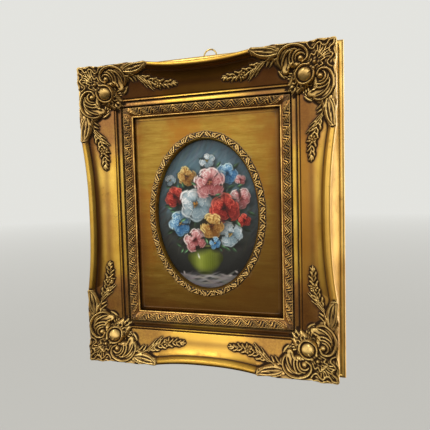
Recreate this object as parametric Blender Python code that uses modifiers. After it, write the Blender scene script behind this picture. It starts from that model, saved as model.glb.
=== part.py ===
"""A small oil painting behind an oval mat panel, in a swept gilt frame that hangs from one ring.

The world origin is the highest point inside the hanging ring, where it rests on its nail. +Z is up, the
picture faces -Y and the wall is at +Y. Every piece is a child of the empty picture_centre, in whose own frame
x and z run from the middle of the picture and y is the depth behind the tips of the four corner ornaments.
"""

import math

import bmesh
import bpy
import numpy as np

MM = 0.001

# Outer frame: the rectangle of its sight opening, and the rail around it
SIGHT_WIDTH = 224 * MM
SIGHT_HEIGHT = 290 * MM
RAIL_WIDTH = 53 * MM
FRAME_DEPTH = 47 * MM
SWEEP_TOP = 6.6 * MM
SWEEP_SIDE = 8.3 * MM
SWEEP_START = 94 * MM
CORNER_RUFFLE = 2.2 * MM
BEAD_WIDTH = 8.5 * MM
BEAD_SET_BACK = 3 * MM
SCOOP_TOP_DEPTH = 8.5 * MM
SCOOP_FOOT_DEPTH = 21.3 * MM
SCOOP_STEADY = 0.72
FILLET_WIDTH = 2.6 * MM
GROOVE_WIDTH = 1.4 * MM
BAND_WIDTH = 7 * MM
BAND_DEPTH = 23.4 * MM
LIP_THICKNESS = 4.6 * MM
RABBET_WIDTH = 4.2 * MM
BACK_LEDGE = 8 * MM
BACK_MOULDING_HEIGHT = 8.6 * MM

# Corner ornament
ORNAMENT_REACH = 138 * MM
ORNAMENT_TIP_DEPTH = 3 * MM
ORNAMENT_SLOPE = 0.16
ORNAMENT_BED = 2.5 * MM
SWELL_WIDTH = 22 * MM
SWELL_END = 54 * MM
SWELL_FALL = 12 * MM
SWELL_FALL_LENGTH = 24 * MM
BED_ROUND = 6 * MM

# Patterned slip inside the outer frame
SLIP_GAP = 1.3 * MM
SLIP_WIDTH = 12.7 * MM
SLIP_FALL = 4.5 * MM
SLIP_ARCH = 1.8 * MM
SLIP_LIP_THICKNESS = 1.5 * MM
SLIP_PATTERN_HEIGHT = 1.3 * MM
SLIP_PATTERN_PERIOD = 32 * MM
SLIP_BEAD_WIDTH = 2.2 * MM
SLIP_RABBET_WIDTH = 4 * MM

# Panel with the oval opening and its carved rim
PANEL_THICKNESS = 4.2 * MM
OVAL_WIDTH = 136.4 * MM
OVAL_HEIGHT = 194 * MM
RIM_WIDTH = 10.6 * MM
RIM_HEIGHT = 3.2 * MM
RIM_LIP_WIDTH = 2.8 * MM
RIM_REPEATS = 26

# Painted board, and the small gap that every pair of touching pieces keeps
BOARD_THICKNESS = 3 * MM
REST_GAP = 0.3 * MM

# Hanger: a wire ring in a strap that two screws hold to the back of the top rail
RING_OFFSET = 6 * MM
RING_WIDTH = 19 * MM
RING_HEIGHT = 15.4 * MM
RING_WIRE_RADIUS = 1.1 * MM
RING_CORNER_RADIUS = 2.2 * MM
RING_PIVOT_BELOW_TOP = 5.5 * MM
STRAP_WIDTH = 12 * MM
STRAP_LENGTH = 27 * MM
STRAP_THICKNESS = 1 * MM
BARREL_CLEARANCE = 0.3 * MM
SCREW_HEAD_RADIUS = 3 * MM
SCREW_HEAD_HEIGHT = 1.5 * MM
SCREW_SHANK_RADIUS = 1.3 * MM
SCREW_LENGTH = 11 * MM
SCREW_HOLE_CLEARANCE = 0.3 * MM
FIRST_SCREW_BELOW_PIVOT = 8 * MM
SCREW_SPACING = 11.5 * MM

# Triangles that the three moulded pieces are reduced to
FRAME_TRIANGLES = 5200
SLIP_TRIANGLES = 1700
PANEL_TRIANGLES = 1700

# Places that follow from the sizes above
SIGHT_HALF = np.array([SIGHT_WIDTH, SIGHT_HEIGHT]) / 2
FRONT_HALF = SIGHT_HALF + RAIL_WIDTH
BACK_HALF = FRONT_HALF + BACK_LEDGE
RABBET_HALF = SIGHT_HALF + RABBET_WIDTH
LIP_BACK = BAND_DEPTH + LIP_THICKNESS
SLIP_OUTER_HALF = SIGHT_HALF - SLIP_GAP
SLIP_INNER_HALF = SLIP_OUTER_HALF - SLIP_WIDTH
SLIP_FLANGE_HALF = RABBET_HALF - REST_GAP
SLIP_LIP_BACK = BAND_DEPTH + SLIP_FALL + SLIP_LIP_THICKNESS
PANEL_FRONT = SLIP_LIP_BACK + REST_GAP
PANEL_BACK = PANEL_FRONT + PANEL_THICKNESS
PANEL_HALF = SLIP_INNER_HALF + SLIP_RABBET_WIDTH - REST_GAP
OVAL_HALF = np.array([OVAL_WIDTH, OVAL_HEIGHT]) / 2
BOARD_FRONT = PANEL_BACK + REST_GAP
STRAP_FRONT = FRAME_DEPTH + REST_GAP
BARREL_INNER_RADIUS = RING_WIRE_RADIUS + BARREL_CLEARANCE
BARREL_OUTER_RADIUS = BARREL_INNER_RADIUS + STRAP_THICKNESS
RING_PLANE = STRAP_FRONT + BARREL_OUTER_RADIUS
RING_PIVOT_Z = BACK_HALF[1] - RING_PIVOT_BELOW_TOP
NAIL_Z = RING_PIVOT_Z + RING_HEIGHT - RING_WIRE_RADIUS


def clear_scene():
    for obj in list(bpy.data.objects):
        bpy.data.objects.remove(obj)


def new_collection(name, hidden=False):
    made = bpy.data.collections.new(name)
    made.hide_render = hidden
    bpy.context.scene.collection.children.link(made)
    return made


def material(name, colour, roughness, metallic):
    made = bpy.data.materials.new(name)
    made.use_nodes = True
    shader = made.node_tree.nodes["Principled BSDF"]
    shader.inputs["Base Color"].default_value = (*colour, 1)
    shader.inputs["Roughness"].default_value = roughness
    shader.inputs["Metallic"].default_value = metallic
    return made


def object_from(name, mesh, collection, centre, surface=None):
    """A mesh in a new object under the picture's centre."""
    made = bpy.data.objects.new(name, mesh)
    collection.objects.link(made)
    made.parent = centre
    if surface:
        mesh.materials.append(surface)
    return made


def take_primitive(name, collection, centre, surface=None):
    """Names the primitive that was just added and puts it under the picture's centre."""
    made = bpy.context.object
    made.name = name
    for owner in list(made.users_collection):
        owner.objects.unlink(made)
    collection.objects.link(made)
    made.parent = centre
    if surface:
        made.data.materials.append(surface)
    bpy.ops.object.transform_apply(location=False, rotation=True, scale=True)
    return made


def box(name, low, high, collection, centre, surface=None):
    low, high = np.array(low), np.array(high)
    bpy.ops.mesh.primitive_cube_add(size=1, location=tuple((low + high) / 2), scale=tuple(high - low))
    return take_primitive(name, collection, centre, surface)


def cylinder(name, start, end, radius, sides, collection, centre, surface=None):
    """A closed cylinder from start to end, which differ along one axis only."""
    start, end = np.array(start), np.array(end)
    axis = int(np.argmax(np.abs(end - start)))
    turn = ((0, math.pi / 2, 0), (math.pi / 2, 0, 0), (0, 0, 0))[axis]
    bpy.ops.mesh.primitive_cylinder_add(
        vertices=sides,
        radius=radius,
        depth=float(np.abs(end - start)[axis]),
        location=tuple((start + end) / 2),
        rotation=turn,
    )
    return take_primitive(name, collection, centre, surface)


def as_cutter(obj):
    obj.hide_render = True
    obj.display_type = "WIRE"
    return obj


def boolean(obj, operation, other):
    cut = obj.modifiers.new(f"{operation.lower()} {other.name}", "BOOLEAN")
    cut.operation = operation
    cut.solver = "EXACT"
    cut.object = other


def reduce_to(obj, triangles):
    """Collapses the flattest edges first, so the flat faces stay flat and the carving keeps its form."""
    reducer = obj.modifiers.new("reduce", "DECIMATE")
    count = sum(len(face.vertices) - 2 for face in obj.data.polygons)
    reducer.ratio = min(1, triangles / count)


def closed_loft(name, rings):
    """A mesh from a closed row of closed sections: rings has the shape (sections, points, 3)."""
    sections, points = rings.shape[:2]
    mesh = bpy.data.meshes.new(name)
    work = bmesh.new()
    grid = [[work.verts.new(point) for point in ring] for ring in rings.tolist()]
    for i in range(sections):
        here, after = grid[i], grid[(i + 1) % sections]
        for j in range(points):
            k = (j + 1) % points
            work.faces.new((here[j], here[k], after[k], after[j]))
    bmesh.ops.recalc_face_normals(work, faces=work.faces)
    work.to_mesh(mesh)
    work.free()
    return mesh


def smooth_line(points, pieces=6):
    """Points on a smooth curve through the given ones, and how far along each is, from 0 to 1."""
    points = np.array(points, float)
    ends = np.vstack([2 * points[0] - points[1], points, 2 * points[-1] - points[-2]])
    line = []
    for a, b, c, d in zip(ends[:-3], ends[1:-2], ends[2:-1], ends[3:]):
        for t in np.arange(pieces) / pieces:
            bend, twist = 2 * a - 5 * b + 4 * c - d, 3 * b - a - 3 * c + d
            line.append(0.5 * (2 * b + (c - a) * t + bend * t**2 + twist * t**3))
    line = np.array([*line, points[-1]])
    steps = np.linalg.norm(np.diff(line, axis=0), axis=1)
    along = np.concatenate([[0], np.cumsum(steps)]) / steps.sum()
    return line, along


class CornerRelief:
    """How far the corner ornament stands forward. u and v run from the corner's tip along its two rails, and
    the ornament is the same on both sides of the line u = v. Its points are in millimetres."""

    def __init__(self, reach, step):
        count = int(round(reach / step)) + 1
        self.step = step / MM
        axis = np.arange(count) * self.step
        self.u, self.v = np.meshgrid(axis, axis, indexing="ij")
        self.rise = np.zeros((count, count))
        self.cover = np.zeros((count, count))

    def window(self, low, high):
        first = np.clip(np.floor(np.array(low) / self.step).astype(int), 0, None)
        last = np.ceil(np.array(high) / self.step).astype(int) + 1
        return slice(first[0], last[0]), slice(first[1], last[1])

    def stroke(self, points, half_width, height, start=0.6, end=0.3, layer=None):
        """A rounded ridge along a smooth line. start and end are its shares of the width at its two ends."""
        target = self.rise if layer is None else layer
        line, along = smooth_line(points)
        for a, b, t in zip(line[:-1], line[1:], along[:-1]):
            share = 1 - (1 - start) * (1 - t) ** 3 - (1 - end) * t**3
            width = half_width * share
            part = self.window(np.minimum(a, b) - width, np.maximum(a, b) + width)
            u, v = self.u[part], self.v[part]
            run = b - a
            nearest = np.clip(((u - a[0]) * run[0] + (v - a[1]) * run[1]) / (run @ run), 0, 1)
            distance = np.hypot(u - a[0] - nearest * run[0], v - a[1] - nearest * run[1])
            dome = np.sqrt(np.clip(1 - (distance / width) ** 2, 0, 1))
            target[part] = np.maximum(target[part], height * (0.5 + 0.5 * share) * dome)

    def dome(self, centre, radius, height, layer=None):
        self.stroke([centre, (centre[0] + 0.02, centre[1])], radius, height, 1, 1, layer)

    def arc(self, centre, radius, first, last, half_width, height, start=1, end=1):
        """A rounded ridge along part of a circle, between two angles in degrees."""
        turns = np.radians(np.linspace(first, last, 9))
        points = [(centre[0] + radius * math.cos(t), centre[1] + radius * math.sin(t)) for t in turns]
        self.stroke(points, half_width, height, start, end)

    def mirror(self):
        self.rise = np.maximum(self.rise, self.rise.T)
        self.cover = np.maximum(self.cover, self.cover.T)

    def read(self, layer, u, v):
        """The layer's value at any places, given in metres."""
        a = np.clip(u / MM / self.step, 0, len(layer) - 1.001)
        b = np.clip(v / MM / self.step, 0, len(layer) - 1.001)
        i, j = a.astype(int), b.astype(int)
        s, t = a - i, b - j
        return (
            layer[i, j] * (1 - s) * (1 - t)
            + layer[i + 1, j] * s * (1 - t)
            + layer[i, j + 1] * (1 - s) * t
            + layer[i + 1, j + 1] * s * t
        )


def spread_cover(relief):
    """Where the carving has its own bed instead of the plain rail, from 0 to 1."""
    cover = relief.cover
    relief.stroke([(8, 8), (22, 22), (38, 38), (48, 48)], 15, 1.6, 0.9, 0.6, cover)
    relief.stroke([(12, 6), (34, 13), (52, 15), (60, 15)], 13, 1.6, 0.7, 0.9, cover)
    relief.stroke([(58, 26), (60, 33)], 5, 1.6, 1, 0.7, cover)
    relief.stroke([(62, 11), (80, 9), (96, 5)], 7, 1.6, 1, 0.5, cover)
    np.clip(cover, 0, 1, out=cover)


def carve_volute(relief):
    """A C-scroll that winds round a bead, with ribs inside it."""
    rim = [(38.5, 22.5), (33.2, 19), (32.8, 12), (39, 6), (50, 3.8), (60.5, 7.5)]
    rim += [(66, 16), (65.5, 24), (62.5, 28.5)]
    relief.stroke(rim, 1.8, 2.6, 0.7, 0.6)
    relief.stroke([(62.5, 28.5), (60, 21.5), (56.5, 14.5), (51, 9)], 1.3, 1.9, 0.6, 0.4)
    relief.stroke([(54, 21), (51.5, 14), (45, 11.3), (39, 13)], 1.5, 1.8)
    relief.dome((40.3, 18.6), 2.9, 3)


def carve_cartouche(relief):
    """A round boss in a ring that opens towards the tip, with three pearls there."""
    centre = (36.3, 36.3)
    relief.arc(centre, 10.8, -110, 45, 1.5, 2.2)
    relief.dome(centre, 7.8, 2.8)
    for place in ((31.8, 26.6), (24.2, 24.2)):
        relief.dome(place, 2.2, 2.8)
    relief.stroke([(50, 26), (56.5, 27.5)], 3, 2, 1, 0.7)
    relief.stroke([(49, 33), (56, 36)], 2.6, 1.8, 1, 0.4)
    relief.dome((48.6, 48.6), 4, 2)


def carve_shell(relief):
    """The ruffled shell at the tip."""
    ruffle = [(32.5, 5.5), (28, 10), (23, 9), (19, 5), (14, 7.5), (9, 3.8), (3, 3)]
    relief.stroke(ruffle, 1.8, 2.6, 0.7, 1)
    relief.stroke([(28.5, 14), (24, 17.5), (17.5, 14.5), (19, 19)], 1.6, 2.2, 0.6, 1)
    for angle in (205, 225):
        turn = math.radians(angle)
        start = (24 + 7 * math.cos(turn), 24 + 7 * math.sin(turn))
        end = (24 + 19 * math.cos(turn), 24 + 19 * math.sin(turn))
        relief.stroke([start, end], 1.7, 1.8, 0.5, 0.8)


def carve_leaves(relief):
    """Leaves along the outer edge, up to the small collar where the bead starts."""
    relief.stroke([(66, 9.5), (80, 5.5), (96, 4.5)], 2.1, 2.2, 0.6, 0.6)
    relief.stroke([(67, 12), (79, 13.2), (90, 11), (96, 6.5)], 1.9, 2.4, 0.5, 0.6)
    relief.stroke([(81, 22.5), (76, 15.5), (68, 11.5)], 1.9, 2.6, 0.4, 0.8)
    relief.stroke([(75.5, 23), (68, 16.5)], 1.8, 2.4, 0.4, 0.8)
    relief.stroke([(66, 28), (60, 37)], 2.4, 2.4, 0.9, 0.5)
    relief.stroke([(68, 2), (61, 4.6), (53, 3)], 1.5, 2, 0.6, 0.5)


def carve_sprig(relief):
    """A sprig of leaves and a flower that lies in the hollow of the rail."""
    stem = [(82.5, 17), (93, 22), (105, 27), (117, 29.5), (134, 29.5)]
    relief.stroke(stem, 1.6, 1.6, 0.8, 0.5)
    line, along = smooth_line(stem)
    for share in (0.26, 0.42, 0.58, 0.72, 0.86):
        place = [np.interp(share, along, line[:, k]) for k in (0, 1)]
        for side in (-1, 1):
            tip = (place[0] + 6, place[1] + side * 7 * math.sin(math.pi * share) + 0.6)
            relief.stroke([place, tip], 1.9, 1.8, 0.9, 0.4)
    for k in range(6):
        turn = math.radians(60 * k)
        relief.dome((113.5 + 3.4 * math.cos(turn), 28.6 + 3.4 * math.sin(turn)), 2, 2.2)
    relief.dome((113.5, 28.6), 1.8, 3)
    relief.stroke([(83, 17), (92, 24.5), (101.5, 35.5)], 1.7, 2, 0.7, 0.4)


def corner_relief():
    relief = CornerRelief(ORNAMENT_REACH, 0.6 * MM)
    spread_cover(relief)
    carve_volute(relief)
    carve_cartouche(relief)
    carve_shell(relief)
    carve_leaves(relief)
    carve_sprig(relief)
    relief.mirror()
    return relief


def sweep_at(run, half_length, sweep):
    """How far the outer edge has curved inwards, at a distance from the corner along the rail. The carved edge
    near the corner swells out at its leaves and dips between them."""
    leaf_ends = (0, 9, 18, 29, 41, 56, 72, 80, 94)
    dips = (0, 0.45, 0, 1, 0.2, 0.35, 0, 0.8, 0.45)
    share = np.clip((run - SWEEP_START) / (half_length - SWEEP_START), 0, 1)
    carved = CORNER_RUFFLE * np.interp(run / MM, leaf_ends, dips)
    return carved + (sweep - 0.45 * CORNER_RUFFLE) * (1 - (1 - share) ** 2.5)


def rail_section(dip):
    """The rail's closed outline where its outer edge is curved in by dip, as (inset from the front's outer
    rectangle, depth): the carved front from the outer edge inwards, then the back and the outer side."""
    foot = dip + BEAD_WIDTH + 1.2 * MM
    scoop_end = RAIL_WIDTH - BAND_WIDTH - FILLET_WIDTH - GROOVE_WIDTH
    front = [(dip, BEAD_SET_BACK + 3.2 * MM)]
    for share, back in ((0.07, 1.3), (0.2, 0.3), (0.38, 0), (0.58, 0.3), (0.76, 1.2), (0.92, 2.8)):
        front.append((dip + share * BEAD_WIDTH, BEAD_SET_BACK + back * MM))
    front.append((foot, SCOOP_TOP_DEPTH))
    for t in (np.arange(26) + 1) / 26:
        fall = SCOOP_STEADY * t + (1 - SCOOP_STEADY) * (1 - (1 - t) ** 4)
        depth = SCOOP_TOP_DEPTH + fall * (SCOOP_FOOT_DEPTH - SCOOP_TOP_DEPTH)
        front.append((foot + t * (scoop_end - foot), depth))
    fillet_start = scoop_end + GROOVE_WIDTH
    band_start = fillet_start + FILLET_WIDTH
    front.append((scoop_end + GROOVE_WIDTH / 2, SCOOP_FOOT_DEPTH + 0.8 * MM))
    front.append((fillet_start, SCOOP_FOOT_DEPTH))
    front.append((band_start - 0.8 * MM, SCOOP_FOOT_DEPTH - 0.4 * MM))
    front.append((band_start, BAND_DEPTH - 0.2 * MM))
    front.append((RAIL_WIDTH - 1 * MM, BAND_DEPTH - 1.2 * MM))
    rabbet = RAIL_WIDTH - RABBET_WIDTH
    ledge = FRAME_DEPTH - BACK_MOULDING_HEIGHT
    rest = [
        (RAIL_WIDTH, BAND_DEPTH + 0.6 * MM),
        (RAIL_WIDTH, LIP_BACK),
        (rabbet, LIP_BACK),
        (rabbet, FRAME_DEPTH),
        (-BACK_LEDGE, FRAME_DEPTH),
        (-BACK_LEDGE, ledge + 3.4 * MM),
        (-0.9 * BACK_LEDGE, ledge + 1.2 * MM),
        (-0.66 * BACK_LEDGE, ledge + 0.2 * MM),
        (-0.4 * BACK_LEDGE, ledge),
        (-0.3 * BACK_LEDGE, ledge + 1 * MM),
        (-0.25 * BACK_LEDGE, ledge - 0.6 * MM),
    ]
    side_start = ledge - 2 * MM
    side_end = BEAD_SET_BACK + 3.2 * MM
    for t in np.arange(6) / 6:
        inset = dip + (-0.12 * BACK_LEDGE - dip) * (1 - t) ** 2.2
        rest.append((inset, side_start + t * (side_end - side_start)))
    return np.array(front), np.array(rest)


def side_stations(half_length, fine_reach, fine_step, coarse_count):
    """Places along one side, from -1 to 1 of its half length, close together near its two corners."""
    near = np.arange(0, fine_reach, fine_step)
    far = np.linspace(fine_reach, half_length, coarse_count)
    from_corner = np.concatenate([near, far]) / half_length
    return np.concatenate([from_corner - 1, (1 - from_corner[:-1])[::-1]])[:-1]


def mitred_ring(half, section_of, stations_of):
    """Points of a closed moulding round a rectangle, mitred at its corners, as (sections, points, x y z)."""
    sides = []
    for k in range(4):
        lengths = half if k % 2 == 0 else half[::-1]
        places = stations_of(k, lengths[0])
        insets, depths = section_of(k, places, lengths[0])
        along = places[:, None] * (lengths[0] - insets)
        out = lengths[1] - insets
        x, z = ((along, out), (out, -along), (-along, -out), (-out, along))[k]
        sides.append(np.stack([x, depths, z], axis=2))
    return np.concatenate(sides)


def bed_depth(u, v, rail_depth):
    """Depth of the surface that the corner's carving stands on, thick on the diagonal, thin along the rails."""
    level = np.maximum(rail_depth, SCOOP_TOP_DEPTH - 0.45 * (BEAD_WIDTH + 1.2 * MM - np.minimum(u, v)))
    inset = (u + v - np.hypot(u - v, BED_ROUND)) / 2
    fall = np.clip((inset - SWELL_END + SWELL_FALL_LENGTH) / SWELL_FALL_LENGTH, 0, 1)
    swell = ORNAMENT_TIP_DEPTH + ORNAMENT_SLOPE * inset + SWELL_FALL * fall**2 * (3 - 2 * fall)
    share = np.exp(-(((u - v) / SWELL_WIDTH) ** 2))
    return share * swell + (1 - share) * (level - ORNAMENT_BED)


def outer_frame_mesh():
    relief = corner_relief()
    front_count = len(rail_section(0)[0])

    def section_of(side, places, half_length):
        sweep = SWEEP_TOP if side % 2 == 0 else SWEEP_SIDE
        rows = []
        for place in places:
            dip = float(sweep_at((1 - abs(place)) * half_length, half_length, sweep))
            rows.append(np.concatenate(rail_section(dip)))
        rows = np.array(rows)
        return rows[:, :, 0], rows[:, :, 1]

    def stations_of(_side, half_length):
        return side_stations(half_length, ORNAMENT_REACH, 1.5 * MM, 5)

    points = mitred_ring(FRONT_HALF, section_of, stations_of)
    front = points[:, :front_count]
    u = FRONT_HALF[0] - np.abs(front[:, :, 0])
    v = FRONT_HALF[1] - np.abs(front[:, :, 2])
    cover = relief.read(relief.cover, u, v)
    rise = relief.read(relief.rise, u, v) * MM
    rail_depth = front[:, :, 1]
    lifted = rail_depth + cover * np.minimum(bed_depth(u, v, rail_depth) - rail_depth, 1 * MM) - rise
    front[:, :, 1] = np.clip(lifted, 0, None)
    return closed_loft("outer_frame", points)


def slip_section(run, half_length):
    """The slip's closed outline at a distance along a side from its corner."""
    pattern_start = 0.8 * MM
    pattern_end = SLIP_WIDTH - SLIP_BEAD_WIDTH
    lanes = 7
    repeats = max(1, round(half_length / SLIP_PATTERN_PERIOD))
    phase = run / half_length * repeats
    points = [(0, BAND_DEPTH + 0.6 * MM)]
    for k in range(lanes):
        share = k / (lanes - 1)
        zigzag = abs(2 * (phase % 1) - 1)
        near = 1 - min(1, 3 * abs(share - zigzag))
        inset = pattern_start + share * (pattern_end - pattern_start)
        depth = BAND_DEPTH + 0.3 * MM + share * (SLIP_FALL - 1 * MM) - SLIP_ARCH * math.sin(math.pi * share)
        points.append((inset, depth - SLIP_PATTERN_HEIGHT * (near - 0.5)))
    points.append((pattern_end + 0.3 * MM, BAND_DEPTH + SLIP_FALL - 0.2 * MM))
    points.append((SLIP_WIDTH - 0.4 * SLIP_BEAD_WIDTH, BAND_DEPTH + SLIP_FALL - 1.1 * MM))
    points.append((SLIP_WIDTH, BAND_DEPTH + SLIP_FALL))
    flange = -(SLIP_GAP + RABBET_WIDTH - REST_GAP)
    points += [
        (SLIP_WIDTH, SLIP_LIP_BACK),
        (SLIP_WIDTH - SLIP_RABBET_WIDTH, SLIP_LIP_BACK),
        (SLIP_WIDTH - SLIP_RABBET_WIDTH, PANEL_BACK),
        (flange, PANEL_BACK),
        (flange, LIP_BACK + REST_GAP),
        (0, LIP_BACK + REST_GAP),
    ]
    return points


def slip_mesh():
    def section_of(_side, places, half_length):
        rows = np.array([slip_section((1 - abs(place)) * half_length, half_length) for place in places])
        return rows[:, :, 0], rows[:, :, 1]

    def stations_of(_side, half_length):
        count = 8 * max(1, round(half_length / SLIP_PATTERN_PERIOD))
        return np.linspace(-1, 1, 2 * count + 1)[:-1]

    return closed_loft("inner_slip", mitred_ring(SLIP_OUTER_HALF, section_of, stations_of))


def oval_angles():
    """Angles round the oval: two for each carved element, and the four that point to the panel's corners."""
    count = RIM_REPEATS * 6
    corner = math.atan2(PANEL_HALF[1], PANEL_HALF[0])
    corners = [corner, math.pi - corner, math.pi + corner, 2 * math.pi - corner]
    regular = [2 * math.pi * k / count for k in range(count)]
    apart = math.pi / count
    kept = [a for a in regular if all(abs(a - c) > apart for c in corners)]
    return np.array(sorted(kept + corners))


def panel_mesh():
    """The panel as a loft from its rectangular edge to the oval opening, with the carved rim between."""
    angles = oval_angles()
    cosine, sine = np.cos(angles), np.sin(angles)
    reach_x = PANEL_HALF[0] / np.clip(np.abs(cosine), 1e-9, None)
    reach_z = PANEL_HALF[1] / np.clip(np.abs(sine), 1e-9, None)
    reach = np.minimum(reach_x, reach_z)
    edge = np.stack([reach * cosine, reach * sine], axis=1)
    turn = np.arctan2(sine * OVAL_HALF[0], cosine * OVAL_HALF[1])
    normal = np.stack([np.cos(turn) * OVAL_HALF[1], np.sin(turn) * OVAL_HALF[0]], axis=1)
    normal /= np.linalg.norm(normal, axis=1)[:, None]
    opening = np.stack([np.cos(turn) * OVAL_HALF[0], np.sin(turn) * OVAL_HALF[1]], axis=1)
    wave = 0.5 + 0.5 * np.cos(RIM_REPEATS * 3 * turn)
    crest = PANEL_FRONT - RIM_HEIGHT
    rows = [
        (opening, 0, PANEL_BACK),
        (opening, 0, PANEL_BACK - 0.9 * MM),
        (opening, RIM_LIP_WIDTH, crest + 1.6 * MM),
        (opening, RIM_LIP_WIDTH + 1 * MM, crest + 0.9 * MM * wave),
        (opening, RIM_LIP_WIDTH + 3.6 * MM, crest + 1.2 * MM * (1 - wave)),
        (opening, RIM_WIDTH - 1.8 * MM, crest + 1.4 * MM * wave),
        (opening, RIM_WIDTH, PANEL_FRONT),
    ]
    rings = []
    for path, out, depth in rows:
        flat = path + normal * out
        rings.append(np.stack([flat[:, 0], np.broadcast_to(depth, len(angles)), flat[:, 1]], axis=1))
    for depth in (PANEL_FRONT, PANEL_BACK):
        rings.append(np.stack([edge[:, 0], np.full(len(angles), depth), edge[:, 1]], axis=1))
    return closed_loft("oval_panel", np.stack(rings, axis=1))


def ring_line():
    """The hanging ring's centre line: a straight bar, two legs and a round top."""
    half = RING_WIDTH / 2 - RING_WIRE_RADIUS
    arch_z = RING_PIVOT_Z + RING_HEIGHT - half
    corner = RING_CORNER_RADIUS
    points = []
    for t in np.linspace(0, math.pi, 15):
        points.append((half * math.cos(t), arch_z + half * math.sin(t)))
    for t in np.linspace(math.pi, 1.5 * math.pi, 5):
        points.append((-half + corner * (1 + math.cos(t)), RING_PIVOT_Z + corner * (1 + math.sin(t))))
    for t in np.linspace(1.5 * math.pi, 2 * math.pi, 5):
        points.append((half - corner * (1 - math.cos(t)), RING_PIVOT_Z + corner * (1 + math.sin(t))))
    return [(RING_OFFSET + x, RING_PLANE, z) for x, z in points]


def build_ring(collection, centre, surface):
    curve = bpy.data.curves.new("hanging_ring", "CURVE")
    curve.dimensions = "3D"
    curve.bevel_depth = RING_WIRE_RADIUS
    curve.bevel_resolution = 2
    spline = curve.splines.new("POLY")
    line = ring_line()
    spline.points.add(len(line) - 1)
    for point, place in zip(spline.points, line):
        point.co = (*place, 1)
    spline.use_cyclic_u = True
    curve.materials.append(surface)
    ring = bpy.data.objects.new("hanging_ring", curve)
    collection.objects.link(ring)
    ring.parent = centre


def screw_places():
    """The two screws' centres, from the upper one down, as x and z."""
    first = RING_PIVOT_Z - FIRST_SCREW_BELOW_PIVOT
    return [(RING_OFFSET, first), (RING_OFFSET, first - SCREW_SPACING)]


def build_strap(collection, cutters, centre, surface):
    """A plate rolled round the ring's bar at its top, with two screw holes."""
    low_z = RING_PIVOT_Z - STRAP_LENGTH
    strap = box(
        "hanger_strap",
        (RING_OFFSET - STRAP_WIDTH / 2, STRAP_FRONT, low_z),
        (RING_OFFSET + STRAP_WIDTH / 2, STRAP_FRONT + STRAP_THICKNESS, RING_PIVOT_Z),
        collection,
        centre,
        surface,
    )
    half = STRAP_WIDTH / 2
    left, right = RING_OFFSET - half, RING_OFFSET + half
    axis = (RING_PLANE, RING_PIVOT_Z)
    barrel = cylinder("barrel", (left, *axis), (right, *axis), BARREL_OUTER_RADIUS, 24, cutters, centre)
    over = 1 * MM
    start, end = (left - over, *axis), (right + over, *axis)
    bore = cylinder("bore", start, end, BARREL_INNER_RADIUS, 24, cutters, centre)
    boolean(strap, "UNION", as_cutter(barrel))
    boolean(strap, "DIFFERENCE", as_cutter(bore))
    hole_radius = SCREW_SHANK_RADIUS + SCREW_HOLE_CLEARANCE
    for number, (x, z) in enumerate(screw_places()):
        start, end = (x, STRAP_FRONT - over, z), (x, STRAP_FRONT + STRAP_THICKNESS + over, z)
        hole = cylinder(f"strap_hole_{number + 1}", start, end, hole_radius, 16, cutters, centre)
        boolean(strap, "DIFFERENCE", as_cutter(hole))
    return strap


def build_screws(frame, collection, cutters, centre, surface):
    """Round-headed screws in holes in the strap and the top rail."""
    seat = STRAP_FRONT + STRAP_THICKNESS + REST_GAP
    tip = seat - SCREW_LENGTH
    profile = [(0, SCREW_HEAD_HEIGHT)]
    for t in (0.35, 0.7, 0.93):
        profile.append((SCREW_HEAD_RADIUS * t, SCREW_HEAD_HEIGHT * math.sqrt(1 - t**2)))
    profile += [(SCREW_HEAD_RADIUS, 0), (SCREW_SHANK_RADIUS, 0)]
    profile.append((SCREW_SHANK_RADIUS, -SCREW_LENGTH + 2 * MM))
    profile.append((0, -SCREW_LENGTH))
    for number, (x, z) in enumerate(screw_places()):
        mesh = bpy.data.meshes.new(f"hanger_screw_{number + 1}")
        mesh.from_pydata([(r, 0, h) for r, h in profile], [(k, k + 1) for k in range(len(profile) - 1)], [])
        screw = object_from(f"hanger_screw_{number + 1}", mesh, collection, centre, surface)
        screw.location = (x, seat, z)
        screw.rotation_euler = (-math.pi / 2, 0, 0)
        turned = screw.modifiers.new("turned", "SCREW")
        turned.steps = turned.render_steps = 16
        turned.use_merge_vertices = True
        turned.merge_threshold = 0.00001
        hole_radius = SCREW_SHANK_RADIUS + SCREW_HOLE_CLEARANCE
        start, end = (x, tip - REST_GAP, z), (x, FRAME_DEPTH + 1 * MM, z)
        hole = cylinder(f"pilot_hole_{number + 1}", start, end, hole_radius, 16, cutters, centre)
        boolean(frame, "DIFFERENCE", as_cutter(hole))


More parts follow.
